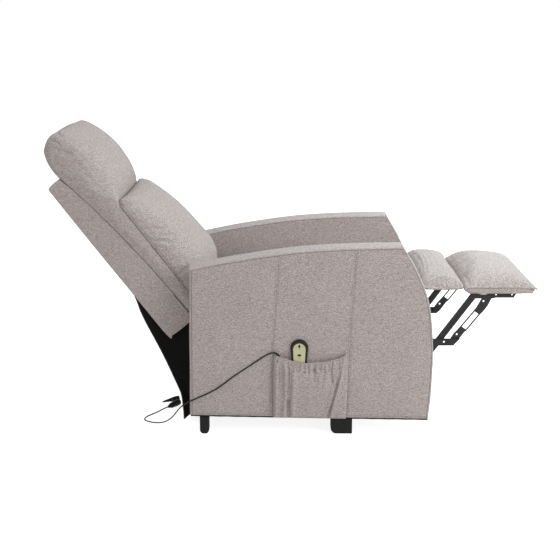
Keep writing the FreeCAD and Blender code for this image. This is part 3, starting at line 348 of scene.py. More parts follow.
def rubber(name, colour):
    """Matt rubber with a talc bloom."""
    f = Finish(name, Specular_IOR_Level=0.2)
    bloom = f.noise(f.place(), 90.0, 4.0, 0.65)
    speck = f.noise(f.place(), 1500.0, 1.0)
    f.set("Base Color", f.scaled(colour, bloom * 0.5 + 0.75))
    f.set("Roughness", (bloom * 0.3 + 0.42).clip())
    f.bump(speck, 0.0001, 0.3)
    return f.material


def floor_finish():
    """White studio floor: a camera sees it almost burnt out, with the object's shadow left in it."""
    f = Finish("studio_floor", Roughness=0.9, Specular_IOR_Level=0.1)
    f.set("Base Color", (0.86, 0.86, 0.86))
    rays = f.tree.nodes.new("ShaderNodeLightPath").outputs
    seen = Value(f, rays["Is Camera Ray"]) + Value(f, rays["Is Glossy Ray"])
    seen = (seen + Value(f, rays["Is Transmission Ray"])).clip()
    f.set("Emission Color", f.mix(seen, (0, 0, 0), (1, 1, 1)))
    f.shader.inputs["Emission Strength"].default_value = 0.86
    return f.material


def world_light(strength):
    """Pale even sky for the light, plain white where it is looked at or mirrored."""
    world = bpy.data.worlds.new("studio")
    world.use_nodes = True
    tree = world.node_tree
    sky, white = tree.nodes["Background"], tree.nodes.new("ShaderNodeBackground")
    for background, level in ((sky, strength), (white, 1.0)):
        background.inputs[0].default_value = (1, 1, 1, 1)
        background.inputs[1].default_value = level
    rays = tree.nodes.new("ShaderNodeLightPath").outputs
    seen = rays["Is Camera Ray"]
    for kind in ("Is Glossy Ray", "Is Transmission Ray"):
        either = tree.nodes.new("ShaderNodeMath")
        either.operation = "MAXIMUM"
        tree.links.new(seen, either.inputs[0])
        tree.links.new(rays[kind], either.inputs[1])
        seen = either.outputs[0]
    choice = tree.nodes.new("ShaderNodeMixShader")
    for socket, source in enumerate((seen, sky.outputs[0], white.outputs[0])):
        tree.links.new(source, choice.inputs[socket])
    tree.links.new(choice.outputs[0], tree.nodes["World Output"].inputs[0])
    bpy.context.scene.world = world


# ---------------------------------------------------------------- surfaces
def metres(x, forward, up):
    """Row-frame points from millimetre arrays, forward being -Y."""
    x, forward, up = np.broadcast_arrays(x, forward, up)
    return np.stack([x, -forward, up], -1) / 1000.0


def side_of(sign):
    """The sitter's side at a sign of X."""
    return "right" if sign < 0 else "left"


def on_back(x, s, n):
    """Row-frame points from the back's own axes, in millimetres."""
    forward = BACK_CORNER[0] - s * math.sin(LEAN) + n * math.cos(LEAN)
    up = BACK_CORNER[1] + s * math.cos(LEAN) + n * math.sin(LEAN)
    return metres(x, forward, up)


def curve(points, count, closed=False):
    """Catmull-Rom spline through the points, the same number of steps in every span."""
    p = np.asarray(points, float)
    if closed:
        p = np.vstack([p[-1], p, p[0], p[1]])
    else:
        p = np.vstack([2 * p[0] - p[1], p, 2 * p[-1] - p[-2]])
    spans = len(p) - 3
    t = np.linspace(0, spans, count + 1 if closed else count)
    if closed:
        t = t[:-1]
    i = np.minimum(t.astype(int), spans - 1)
    u = (t - i)[:, None]
    a, b, c, d = p[i], p[i + 1], p[i + 2], p[i + 3]
    return 0.5 * (2 * b + (c - a) * u + (2 * a - 5 * b + 4 * c - d) * u**2 + (3 * b - a - 3 * c + d) * u**3)


def even(points, count):
    """Points spaced evenly along a line of points."""
    p = np.asarray(points, float)
    run = np.concatenate([[0], np.cumsum(np.linalg.norm(np.diff(p, axis=0), axis=1))])
    where = np.linspace(0, run[-1], count)
    return np.stack([np.interp(where, run, column) for column in p.T], -1)


def waves(points, size, seed):
    """Soft unevenness: the sum of twelve sine waves in seeded directions, about -1 to 1, waves size long."""
    rng = np.random.default_rng(seed)
    total = 0.0
    for _ in range(12):
        way = rng.normal(size=3)
        way = way / np.linalg.norm(way) * 2 * math.pi / (size * rng.uniform(0.6, 1.9))
        total = total + np.sin(points @ way + rng.uniform(0, 2 * math.pi))
    return total / 4.2


def grid_faces(rows, columns, wrap_rows=False, wrap_columns=False, start=0):
    """Quads between neighbouring rows and columns of a grid of points."""
    row_steps, column_steps = rows - (not wrap_rows), columns - (not wrap_columns)
    i, j = np.meshgrid(np.arange(row_steps), np.arange(column_steps), indexing="ij")
    i2, j2 = (i + 1) % rows, (j + 1) % columns
    quads = np.stack([i * columns + j, i * columns + j2, i2 * columns + j2, i2 * columns + j], -1)
    return quads.reshape(-1, 4) + start


def mesh_piece(name, parts, material, body=None, weld=1e-5, outward=True):
    """One object from (points, faces) parts, welded, with its faces outward and smooth."""
    points, faces, start = [], [], 0
    for p, f in parts:
        p = np.asarray(p, float).reshape(-1, 3)
        points.append(p)
        if isinstance(f, np.ndarray):
            faces.extend((f + start).tolist())
        else:
            faces.extend([[i + start for i in face] for face in f])
        start += len(p)
    mesh = bpy.data.meshes.new(name)
    mesh.from_pydata(np.vstack(points).tolist(), [], faces)
    if weld or outward:
        bm = bmesh.new()
        bm.from_mesh(mesh)
        if weld:
            bmesh.ops.remove_doubles(bm, verts=bm.verts, dist=weld)
            bmesh.ops.dissolve_degenerate(bm, edges=bm.edges, dist=1e-7)
        if outward:
            bmesh.ops.recalc_face_normals(bm, faces=bm.faces)
        bm.to_mesh(mesh)
        bm.free()
    mesh.polygons.foreach_set("use_smooth", np.ones(len(mesh.polygons), bool))
    mesh.materials.append(material)
    obj = bpy.data.objects.new(name, mesh)
    bpy.context.scene.collection.objects.link(obj)
    if body:
        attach(obj, body)
    return obj


def tube_parts(path, radius, sides=8):
    """Tube about a path: path + radius * (cos a * side + sin a * up), with closed ends."""
    path = np.asarray(path, float)
    ahead = np.gradient(path, axis=0)
    ahead /= np.linalg.norm(ahead, axis=1)[:, None]
    seed = np.array([0.31, 0.17, 0.93])
    side = np.cross(ahead, seed)
    side /= np.linalg.norm(side, axis=1)[:, None]
    up = np.cross(ahead, side)
    a = np.linspace(0, 2 * math.pi, sides, endpoint=False)
    radius = np.broadcast_to(radius, len(path))
    ring = np.cos(a)[None, :, None] * side[:, None] + np.sin(a)[None, :, None] * up[:, None]
    ring = path[:, None] + ring * radius[:, None, None]
    ends = np.stack([np.repeat(path[:1], sides, 0), np.repeat(path[-1:], sides, 0)])
    rings = np.concatenate([ends[:1], ring, ends[1:]])
    return rings, grid_faces(len(path) + 2, sides, wrap_columns=True)


def points_of(obj):
    co = np.empty(len(obj.data.vertices) * 3)
    obj.data.vertices.foreach_get("co", co)
    return co.reshape(-1, 3)


def normals_of(obj):
    no = np.empty(len(obj.data.vertices) * 3)
    obj.data.vertex_normals.foreach_get("vector", no)
    return no.reshape(-1, 3)


def move_points(obj, points):
    obj.data.vertices.foreach_set("co", np.asarray(points, float).ravel())
    obj.data.update()


def distance_to(points, line):
    """Distance of every point from a line of points, and how far along it the nearest place is."""
    best = np.full(len(points), 1e9)
    along = np.zeros(len(points))
    run = 0.0
    for a, b in zip(line[:-1], line[1:]):
        ab = b - a
        size = np.linalg.norm(ab)
        t = np.clip((points - a) @ ab / size**2, 0, 1)
        d = np.linalg.norm(points - a - t[:, None] * ab, axis=1)
        near = d < best
        best = np.where(near, d, best)
        along = np.where(near, run + t * size, along)
        run += size
    return best, along


def laid_on(obj, line, lift=0.0):
    """The line moved to the nearest place on a piece's surface, and lifted off it."""
    bm = bmesh.new()
    bm.from_mesh(obj.data)
    tree = BVHTree.FromBMesh(bm)
    bm.free()
    placed = []
    for p in line:
        place, normal, *_ = tree.find_nearest(Vector(p))
        placed.append(place + normal * lift)
    return np.array([tuple(p) for p in placed])


def len_of(line):
    return float(np.linalg.norm(np.diff(np.asarray(line, float), axis=0), axis=1).sum())


END_STEPS = np.array([0, .3, .9, 1.8, 3, 4.6, 6.6, 9, 12, 16, 21, 27, 34, 43, 54, 68])
CAP_RADII = np.array([.97, .93, .87, .79, .69, .57, .44, .3, .15, 0])
LOOP_PITCH = 12.0            # between the loops away from the ends


def stations(half):
    """Places across a block, close together near both ends."""
    steady = np.linspace(82, half, max(4, int((half - 82) / LOOP_PITCH)))
    x = half - np.concatenate([END_STEPS, steady])
    return np.concatenate([-x, x[::-1][1:]])


def outward_of(loop):
    """Unit vectors out of flat loops of points, one loop in each row."""
    ahead = np.roll(loop, -3, 1) - np.roll(loop, 3, 1)
    out = np.stack([ahead[..., 1], -ahead[..., 0]], -1)
    out /= np.linalg.norm(out, axis=2)[..., None]
    after = np.roll(loop, -1, 1)
    area = np.sum(loop[..., 0] * after[..., 1] - after[..., 0] * loop[..., 1], 1)
    return out * np.sign(area)[:, None, None]


def drawn_in(ring, core, share):
    """A ring shrunk to share of its distance from the core line."""
    a, b = np.asarray(core, float)
    along = np.clip((ring - a) @ (b - a) / ((b - a) @ (b - a)), 0, 1)
    heart = a + along[:, None] * (b - a)
    return heart + (ring - heart) * share


def block(side, middle, half, edge, core, spread=(2.4, 2.0), bulge=4.0, count=168, place=metres):
    """Stuffed block as (points, faces). At x its loop is side + (middle - side) * (1 - |x/half|^p)^(1/q);
    within edge of either end the loop draws in by edge * (1 - sqrt(1 - t^2)), and each end is closed by
    loops shrinking to the core line, swollen by bulge * (1 - r^2)^2."""
    side, middle = curve(side, count, True), curve(middle, count, True)
    edge = np.interp(np.arange(count) / count * len(edge), np.arange(len(edge) + 1), [*edge, edge[0]])
    x = stations(half)
    crown = (1 - np.abs(x / half) ** spread[0]) ** (1 / spread[1])
    loop = side[None] + (middle - side)[None] * crown[:, None, None]
    t = np.clip((np.abs(x)[:, None] - (half - edge)) / edge, 0, 1)
    loop = loop - outward_of(loop) * (edge * (1 - np.sqrt(1 - t**2)))[..., None]
    near = np.stack([drawn_in(loop[0], core, r) for r in CAP_RADII[::-1]])
    far = np.stack([drawn_in(loop[-1], core, r) for r in CAP_RADII])
    swell = half + bulge * (1 - CAP_RADII**2) ** 2
    all_x = np.concatenate([-swell[::-1], x, swell])
    rings = np.concatenate([near, loop, far])
    points = place(all_x[:, None], rings[..., 0], rings[..., 1])
    return points, grid_faces(len(rings), count, wrap_columns=True)


def sheet_parts(outer, inner):
    """Thin cloth as (points, faces) parts: its two grids and the rim between their edges."""
    rim, rim_in = (np.concatenate([g[0], g[1:, -1], g[-1, -2::-1], g[-2:0:-1, 0]]) for g in (outer, inner))
    rows, columns = outer.shape[:2]
    return [(outer, grid_faces(rows, columns)), (inner, grid_faces(rows, columns)),
            (np.stack([rim, rim_in]), grid_faces(2, len(rim), wrap_columns=True))]


def evaluated(obj):
    """The piece's mesh with its modifiers applied, in its place."""
    graph = bpy.context.evaluated_depsgraph_get()
    made = bpy.data.meshes.new_from_object(obj.evaluated_get(graph), depsgraph=graph)
    obj.modifiers.clear()
    old = obj.data
    obj.data = made
    bpy.data.meshes.remove(old)
    made.polygons.foreach_set("use_smooth", np.ones(len(made.polygons), bool))


CLOTH_STEPS = 18


def cover_cloth(obj, pressure, grow):
    """Cloth of an upholstery cover: light, fairly stiff, blown up from inside and cut grow larger."""
    cloth = obj.modifiers.new("cover", "CLOTH")
    cloth.settings.quality = 3
    cloth.settings.mass = 0.25
    cloth.settings.tension_stiffness = 18
    cloth.settings.compression_stiffness = 18
    cloth.settings.shear_stiffness = 6
    cloth.settings.bending_stiffness = 0.35
    cloth.settings.use_pressure = True
    cloth.settings.uniform_pressure_force = pressure
    cloth.settings.shrink_min = -grow
    cloth.settings.vertex_group_mass = "held"
    cloth.settings.effector_weights.gravity = 0.0
    cloth.collision_settings.use_collision = False
    cloth.point_cache.frame_start = 1
    cloth.point_cache.frame_end = CLOTH_STEPS


def plump(obj, held, grow=0.012, pressure=4.0, cap=0.010, voxel=0.005):
    """Cloth version of a padded piece: remeshed evenly, then its cover, cut grow larger than the filling, is
    blown up in steps while its held points stay; movement d is limited to cap * tanh(d / cap)."""
    remesh = obj.modifiers.new("even", "REMESH")
    remesh.mode = "VOXEL"
    remesh.voxel_size = voxel
    evaluated(obj)
    before = points_of(obj)
    pinned = np.where(held(before))[0]
    group = obj.vertex_groups.new(name="held")
    group.add(pinned.tolist(), 1.0, "REPLACE")
    cover_cloth(obj, pressure, grow)
    for step in range(1, CLOTH_STEPS + 1):
        bpy.context.scene.frame_set(step)
    graph = bpy.context.evaluated_depsgraph_get()
    result = obj.evaluated_get(graph)
    after = np.empty(len(before) * 3)
    result.data.vertices.foreach_get("co", after)
    moved = after.reshape(-1, 3) - before
    size = np.linalg.norm(moved, axis=1)[:, None] + 1e-9
    obj.modifiers.clear()
    obj.vertex_groups.clear()
    move_points(obj, before + moved / size * cap * np.tanh(size / cap))
    bpy.context.scene.frame_set(1)
    fine = obj.modifiers.new("fine", "SUBSURF")
    fine.levels = fine.render_levels = 1
    evaluated(obj)


def press(obj, folds, axes=(1, 2), place=metres, beyond=0.09):
    """Folds pressed into a piece in one pass. Each is (line, width, depth) in millimetres, its line seen from
    the sides, or from above where axes has X; the surface moves in by depth * exp(-(distance / width)^2),
    fading to both ends of the line, and a negative depth raises a ridge."""
    axes = list(axes)
    from_above = 0 in axes
    points = points_of(obj)
    seen = points[:, axes]
    outside = points[:, 2] > points[:, 2].mean() if from_above else np.abs(points[:, 0]) > beyond
    push = np.zeros(len(points))
    for line, width, depth in folds:
        line = curve(np.asarray(line, float), 6 * len(line))
        path = (metres(*line.T, 0) if from_above else place(0, *line.T))[:, axes]
        low, high = path.min(0) - 0.0025 * width, path.max(0) + 0.0025 * width
        near = np.where(outside & np.all((seen > low) & (seen < high), 1))[0]
        d, along = distance_to(seen[near], path)
        share = along / (len_of(path) + 1e-9)
        fade = np.sin(math.pi * np.clip(share, 0.02, 0.98)) ** 0.5
        push[near] += depth / 1000 * np.exp(-((d * 1000 / width) ** 2)) * fade
    move_points(obj, points - normals_of(obj) * push[:, None])


def gathers(line, reach, depth, pitch, seed, lean=0.0):
    """Folds for press: short gathers at uneven steps along a seam, each running off to one side of it."""
    rng = np.random.default_rng(seed)
    line = np.asarray(line, float)
    run = np.concatenate([[0], np.cumsum(np.linalg.norm(np.diff(line, axis=0), axis=1))])
    folds, root_run = [], 0.5 * pitch
    while root_run < run[-1] - 0.3 * pitch:
        root = np.array([np.interp(root_run, run, column) for column in line.T])
        length = reach[0] + (reach[1] - reach[0]) * rng.random()
        way = np.array([lean + rng.normal() * 0.25, 1.0])
        tip = root + way / np.linalg.norm(way) * length
        width = 2.6 + 2.4 * rng.random()
        folds.append(([root, (root + tip) / 2, tip], width, depth * (0.5 + 0.8 * rng.random())))
        root_run += pitch * (0.55 + 0.9 * rng.random())
    return folds


# ---------------------------------------------------------------- back
GUSSET = 153.0               # n of the seams between the pillow's side gusset and the lumbar cushion


def back_pieces(cloth):
    """Border shell, pillow with the side gusset below it, lumbar cushion, and welts along their seams."""
    half = BACK_HALF
    front = [(612, 51), (519, 66), (400, 81), (250, 94), (96, 102)]
    border = [(2, -2), (150, -4), (310, -5), (470, -5), (600, -4), (624, -4), (631, -1), (634, 8),
              (636, 33), (629, 46), *front, (20, 104), (4, 100), (-4, 84), (-6, 50), (-5, 14)]
    points, faces = block(border, border, half - 0.3, [1.2] * len(border), ((30, 50), (600, 24)), bulge=1.0,
                          place=on_back, count=190)
    shell = mesh_piece("back_border", [(points, faces)], cloth, "back")
    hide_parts("back_shell")

    behind = [(20, 107), (96, 103), (250, 95), (400, 82), (519, 67)]
    side = [(614, 52), (640, 46), (682, 42), (722, 50), (750, 68), (765, 94), (764, 118), (750, 138),
            (726, 150), (698, 160), (658, 168), (618, 172), (578, 170), (538, 166), (505, 163), (474, 160),
            (446, 153), (400, 153), (264, 153), (114, 153), (30, 148), (8, 128), *behind]
    middle = [(614, 52), (640, 46), (683, 46), (722, 55), (751, 70), (768, 93), (772, 124), (763, 148),
              (740, 164), (708, 180), (666, 195), (625, 205), (583, 208), (538, 204), (503, 195), (472, 180),
              (446, 150), (400, 149), (264, 149), (114, 149), (30, 144), (8, 128), *behind]
    edge = [4, 12, 26, 34, 40, 44, 46, 46, 44, 42, 40, 38, 36, 33, 20, 8, 1.2] + [1.0] * 10
    points, faces = block(side, middle, half, edge, ((60, 128), (690, 110)), (2.0, 1.2), 4.0,
                          place=on_back, count=260)
    pillow = mesh_piece("head_pillow_cover", [(points, faces)], cloth, "back")
    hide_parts("head_pillow")

    lumbar_side = [(447, 151), (458, 156), (463, 164), (455, 178), (424, 188), (370, 193), (300, 196),
                   (211, 196), (137, 192), (80, 182), (44, 166), (34, 156), (44, 151), (114, 151),
                   (211, 151), (300, 151), (400, 151)]
    lumbar_mid = [(447, 151), (456, 170), (455, 188), (439, 204), (405, 223), (357, 243), (298, 258),
                  (211, 267), (138, 269), (80, 250), (44, 215), (30, 170), (44, 151), (114, 151),
                  (211, 151), (300, 151), (400, 151)]
    edge = [1.2, 4, 9, 16, 22, 24, 24, 24, 24, 18, 9, 3, 1.2, 1.0, 1.0, 1.0, 1.0]
    points, faces = block(lumbar_side, lumbar_mid, half, edge, ((60, 163), (430, 160)), (2.0, 1.4), 1.0,
                          place=on_back, count=220)
    lumbar = mesh_piece("lumbar_cushion", [(points, faces)], cloth, "back")
    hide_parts("back_cushion")

    def seams_of_back(points):
        """Held where the covers are sewn: the gusset's two seams, and everything behind them."""
        f, z = -points[:, 1] * 1000 - BACK_CORNER[0], points[:, 2] * 1000 - BACK_CORNER[1]
        s = -f * math.sin(LEAN) + z * math.cos(LEAN)
        n = f * math.cos(LEAN) + z * math.sin(LEAN)
        border_front = np.interp(s, *np.array(front[::-1], float).T)
        sewn = (np.abs(n - GUSSET) < 14) & (s < 466)
        return sewn | (n < border_front + 6) | ((np.abs(points[:, 0]) < 0.25) & (n < 150) & (s < 440))
    plump(pillow, seams_of_back, 0.014, 5.0, 0.009, 0.007)
    plump(lumbar, seams_of_back, 0.016, 5.0, 0.006, 0.007)

    press(pillow, [
        ([(752, 98), (742, 112), (730, 118), (716, 120)], 5, 6.0),
        ([(766, 122), (756, 134), (744, 139), (728, 144)], 5, 5.5),
        ([(712, 100), (694, 116), (676, 127), (664, 126)], 9, 5.0),
        ([(622, 226), (604, 220), (586, 212), (560, 204)], 5, 4.0),
        ([(560, 192), (520, 182), (486, 170)], 7, 3.5),
        ([(520, 178), (488, 168), (462, 158)], 6, 4.0),
        ([(640, 60), (600, 78), (560, 96)], 9, 2.5),
        ([(446, 150), (330, 150.5), (200, 151), (60, 150)], 2.2, 1.6),
        *gathers([(440, 146), (250, 146), (60, 146)], (14, 34), 2.4, 26, 3, -0.2)], place=on_back)
    press(lumbar, [
        ([(322, 190), (308, 200), (296, 212), (286, 224)], 5, 6.0),
        ([(300, 186), (286, 196), (274, 208), (262, 220)], 5, 5.0),
        ([(276, 184), (262, 192), (250, 204), (240, 212)], 5, 4.0),
        ([(350, 196), (330, 208), (318, 222)], 6, 3.0),
        ([(440, 158), (430, 172), (418, 190), (404, 206)], 7, 4.0),
        *gathers([(430, 158), (330, 158), (120, 158)], (18, 52), 3.2, 24, 5, -0.35)], place=on_back)
    for sign in (-1, 1):
        for line in ([(446, 153), (264, 152.6), (40, 152)],
                     [(608, 52), (519, 66.6), (400, 81.6), (250, 94.6), (100, 102.6)]):
            path = on_back(sign * 255.6, *even(line, 90).T)
            points, faces = tube_parts(path, 0.0024, 8)
            name = "back_welt_%s_%d" % (side_of(sign), len(line))
            mesh_piece(name, [(points, faces)], cloth, "back")


# ---------------------------------------------------------------- seat and footrest
def seat_pieces(cloth):
    """Crowned seat cushion between the arms."""
    half = CUSHION_HALF
    side = [(-196, 404), (-100, 401), (100, 401), (300, 401), (398, 403), (419, 418), (424, 445), (419, 468),
            (398, 482), (300, 494), (100, 492), (-80, 488), (-180, 478), (-204, 450), (-205, 420)]
    middle = [(-196, 404), (-100, 401), (100, 401), (300, 401), (400, 403), (421, 418), (427, 448),
              (422, 480), (396, 506), (300, 521), (100, 517), (-80, 511), (-180, 498), (-204, 462),
              (-205, 424)]
    edge = [6, 6, 6, 6, 8, 12, 18, 22, 24, 24, 24, 24, 20, 14, 8]
    points, faces = block(side, middle, half, edge, ((-160, 440), (380, 440)), (3.0, 2.0), -3.0, count=200)
    seat = mesh_piece("seat_cushion_cover", [(points, faces)], cloth, "chassis")
    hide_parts("seat_cushion")
    plump(seat, lambda p: p[:, 2] < 0.45, 0.012, 4.0, 0.006, 0.010)


def footrest_pieces(cloth, thread):
    """Two ottoman pads, each a pillow over a band that wraps its board, with a welt round the front one."""
    half = BACK_HALF
    side = [(598, 463), (700, 462.5), (786, 462), (804, 463), (816, 466), (821, 474), (817, 481), (798, 487),
            (748, 490), (690, 490), (640, 488), (606, 484), (586, 478), (581, 471), (587, 465)]
    middle = [(598, 458), (700, 457), (786, 457), (804, 459), (817, 466), (822, 477), (817, 491), (796, 507),
              (745, 521), (690, 529), (640, 530), (606, 517), (589, 497), (584, 477), (588, 462)]
    edge = [3, 3, 3, 4, 5, 7, 16, 30, 36, 36, 36, 26, 14, 6, 3]
    points, faces = block(side, middle, half, edge, ((615, 470), (796, 470)), (2.2, 1.5), 0.5, count=176)
    front = mesh_piece("front_ottoman_pad", [(points, faces)], cloth, "front_ottoman")
    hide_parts("front_ottoman_cushion")
    side = [(447, 472), (510, 471), (566, 472), (577, 476), (580, 482), (573, 490), (555, 497), (520, 500),
            (480, 500), (450, 497), (437, 489), (433, 481), (437, 474)]
    middle = [(447, 472), (510, 471), (564, 472), (576, 477), (578, 487), (574, 500), (558, 515), (520, 527),
              (480, 531), (447, 526), (432, 508), (430, 487), (437, 474)]
    edge = [3, 3, 3, 5, 8, 18, 30, 36, 36, 28, 14, 8, 4]
    points, faces = block(side, middle, half - 1, edge, ((455, 480), (560, 480)), (2.2, 1.5), 0.5, count=156)
    mid = mesh_piece("mid_ottoman_pad", [(points, faces)], cloth, "mid_ottoman")
    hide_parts("mid_ottoman_cushion")
    plump(front, lambda p: p[:, 2] < 0.480, 0.014, 4.0, 0.008, 0.006)
    plump(mid, lambda p: p[:, 2] < 0.478, 0.018, 4.0, 0.008, 0.006)
    press(front, [([(588, 476), (700, 476.5), (808, 476)], 2.0, 3.0),
                  *gathers([(806, 479), (700, 479), (596, 479)], (10, 24), 2.0, 13, 12, 0.0)])
    press(mid, [([(572, 484), (510, 481), (438, 486)], 3.0, 2.8),
                *gathers([(568, 482), (505, 480), (445, 482)], (10, 28), 2.4, 11, 31, 0.2)])
    press(mid, [([(-230, f - 6), (-60, f + 3), (90, f), (230, f - 5)], 3.6, depth)
                for f, depth in ((452, 2.0), (466, 1.8), (482, 1.7), (500, 1.3))], axes=(0, 1))
    corner = [(258.6, 590), (258.6, 806), (251, 818), (236, 822.4)]
    around = np.array([(-x, f) for x, f in corner] + [(x, f) for x, f in corner[::-1]])
    welt = metres(*even(curve(around, 60), 200).T, 476.5)
    mesh_piece("front_ottoman_welt", [tube_parts(welt, 0.0011, 6)], thread, "front_ottoman")


# ---------------------------------------------------------------- arms
def coons(bottom, top, left, right, u=None, v=None):
    """Patch between four lines: (1-v)B + vT + (1-u)L + uR less the bilinear corners."""
    u = (np.linspace(0, 1, len(bottom)) if u is None else u)[None, :, None]
    v = (np.linspace(0, 1, len(left)) if v is None else v)[:, None, None]
    flat = (1 - v) * bottom[None] + v * top[None] + (1 - u) * left[:, None] + u * right[:, None]
    low_corners = (1 - u) * (1 - v) * bottom[0] + u * (1 - v) * bottom[-1]
    high_corners = (1 - u) * v * top[0] + u * v * top[-1]
    return flat - low_corners - high_corners


EDGE_STEPS = np.array([0, .3, .9, 1.8, 3.0, 4.4, 5.5, 6.2, 6.8, 7.4, 8.1, 9.4, 12, 17, 24])
SEAM_STEPS = np.array([0, 1.2, 2.6, 4.2, 6, 9, 13, 18, 24])
PANEL_PITCH = 6.5
ARM_HEIGHT = 560.0


def spread_of(length, edge_at_start, edge_at_end):
    """Shares of a length, close together at both ends and closest at a rolled edge."""
    head = EDGE_STEPS if edge_at_start else SEAM_STEPS
    tail = EDGE_STEPS if edge_at_end else SEAM_STEPS
    plain = max(3, int((length - head[-1] - tail[-1]) / PANEL_PITCH))
    body = np.linspace(head[-1], length - tail[-1], plain)
    return np.concatenate([head[:-1], body, (length - tail[:-1])[::-1]]) / length


def at_share(line, share):
    """Points at shares of a line's length."""
    dense = even(line, 600)
    return np.stack([np.interp(share, np.linspace(0, 1, 600), column) for column in dense.T], -1)


def arm_panel_grid():
    """(forward, up) of the arm's outer face as a grid: three panels between the rear edge, the two sewn
    lines and the front edge; rows and columns close up near the edges and the sewn lines."""
    top_arc = even(curve([(-332, 565), (-180, 595), (15, 623), (190, 634.5), (362, 638)], 80), 400)
    front_arc = even(curve([(457, 54), (465, 150), (468, 293), (453, 440), (415, 545), (362, 638)], 120), 300)
    rear_arc = even([(-336, 68), (-332, 565)], 300)
    bottom_arc = even([(-336, 68), (457, 54)], 400)

    def on_line(line, f):
        return np.stack([f, np.interp(f, line[:, 0], line[:, 1])], -1)
    rear_seam = curve([on_line(bottom_arc, -69), (-60, 315), (-46, 520), on_line(top_arc, -38)], 300)
    front_seam = curve([on_line(bottom_arc, 185), (193, 303), (204, 520), on_line(top_arc, 213)], 300)
    v = spread_of(ARM_HEIGHT, True, True)
    rails = [(rear_arc, -336, -332), (rear_seam, -69, -38), (front_seam, 185, 213), (front_arc, 457, 362)]
    panels, across = [], []
    for k in range(3):
        (left, low_0, high_0), (right, low_1, high_1) = rails[k], rails[k + 1]
        width = low_1 - low_0
        u = spread_of(width, k == 0, k == 2)
        bottom = at_share(on_line(bottom_arc, np.linspace(low_0, low_1, 200)), u)
        top = at_share(on_line(top_arc, np.linspace(high_0, high_1, 200)), u)
        patch = coons(bottom, top, at_share(left, v), at_share(right, v), u, v)
        first = 0 if k == 0 else 1
        panels.append(patch[:, first:])
        across.append((u * width + low_0)[first:])
    return np.concatenate(panels, 1), np.concatenate(across), v * ARM_HEIGHT, (rear_seam, front_seam)


DIP = 6.8                    # from the arm's edge to its sewn dip


def edge_roll(depth, radius=6.0):
    """How far the face stands back at a distance from its edge: a rounded roll up to a sewn dip."""
    roll = radius - np.sqrt(np.maximum(radius**2 - np.maximum(radius - depth, 0) ** 2, 0))
    dip = 2.4 * np.exp(-(((depth - DIP) / 1.1) ** 2))
    return roll + dip


def arm_relief(f, z, across, height, seams):
    """Millimetres that the arm's face stands back at its edges and sewn lines, that it puffs out between
    them, and a share that grows from its edges inward."""
    gap = np.minimum(across[None] - across[0], across[-1] - across[None]) + 0 * z
    rise = np.minimum(height[:, None], height[-1] - height[:, None]) + 0 * z
    a, b = np.maximum(DIP - gap, 0), np.maximum(DIP - rise, 0)
    near = np.where((a > 0) & (b > 0), DIP - np.sqrt(a**2 + b**2), np.minimum(gap, rise))
    back_off = np.minimum(edge_roll(np.maximum(near, 0)), DIP)
    beside = np.minimum(*[np.abs(f - np.interp(z, s[:, 1], s[:, 0])) for s in seams])
    far_in = np.clip(near / 60, 0, 1)
    sewn = 1.1 * np.exp(-((beside / 2.0) ** 2)) + 0.5 * np.exp(-(((beside - 5) / 1.6) ** 2))
    puff = 1.6 * np.clip(beside / 45, 0, 1) ** 0.6 * far_in
    return back_off, sewn * far_in**0.3, puff, far_in


def arm_band(outer, inner, sign):
    """Crowned strip round the arm between the edges of its two faces: crown 0.0022 * (1 - (2t - 1)^4)."""
    rows, columns = outer.shape[:2]
    ring = [(0, j) for j in range(columns)] + [(i, columns - 1) for i in range(1, rows)]
    ring += [(rows - 1, j) for j in range(columns - 2, -1, -1)] + [(i, 0) for i in range(rows - 2, 0, -1)]
    ri, rj = np.array(ring).T
    start, end = outer[ri, rj], inner[ri, rj]
    steps = np.concatenate([[0, .012, .04, .09], np.linspace(.16, .84, 12), [.91, .96, .988, 1]])
    t = steps[:, None]
    band = start[None] + (end - start)[None] * t[..., None]
    away = band - metres(sign * 315.0, 60.0, 330.0)
    away[..., 0] = 0
    around = np.roll(band, -2, 1) - np.roll(band, 2, 1)
    out = np.stack([np.zeros(around.shape[:2]), around[..., 2], -around[..., 1]], -1)
    out *= np.sign(np.sum(out * away, -1))[..., None]
    out /= np.linalg.norm(out, axis=-1)[..., None] + 1e-12
    crown = 0.0022 * (1 - (2 * t - 1) ** 4)
    crown = crown + 0.0007 * waves(band, 0.09, 21 + sign) * np.sin(math.pi * t)
    return band + out * crown[..., None], grid_faces(len(steps), len(ring), wrap_columns=True)


def arm_threads(outer, inner, f, z, seams, sign):
    """Thread in the sewn dip round both faces, and a finer one down each sewn line."""
    inset = 8
    rows = len(f)
    parts = []
    for face, way in ((outer, sign), (inner, -sign)):
        line = np.concatenate([face[:-inset, inset], face[-1 - inset, inset:-inset],
                               face[-1 - inset::-1, -1 - inset]])
        line[:, 0] += way * 0.0002
        parts.append(tube_parts(even(line, 420), 0.00075, 5))
    for line in seams:
        where = np.argmin(np.abs(f - np.interp(z, line[:, 1], line[:, 0])), 1)
        path = outer[np.arange(inset, rows - inset), where[inset:rows - inset]]
        parts.append(tube_parts(path + (sign * 0.0001, 0, 0), 0.0005, 5))
    return parts


def arm_lining_and_shade(sign):
    """Strip of black lining under the arm, as cloth parts. It hangs about 2.6 mm below the arm's bottom edge,
    so besides being real lining it is a dark line that stands in as painted shade under the arm.
    """
    under = even([(-334, 67.6), (456, 53.7)], 90)
    top = metres(sign * np.array([ARM_IN + 2, ARM_OUT - 1.2])[:, None], under[:, 0], under[:, 1] + 0.3)
    low = metres(sign * np.array([ARM_IN + 3, ARM_OUT - 2.2])[:, None], under[:, 0],
                 under[:, 1] - 2.6 + 0.3 * np.sin(under[:, 0] / 9.0))
    return sheet_parts(low, top)


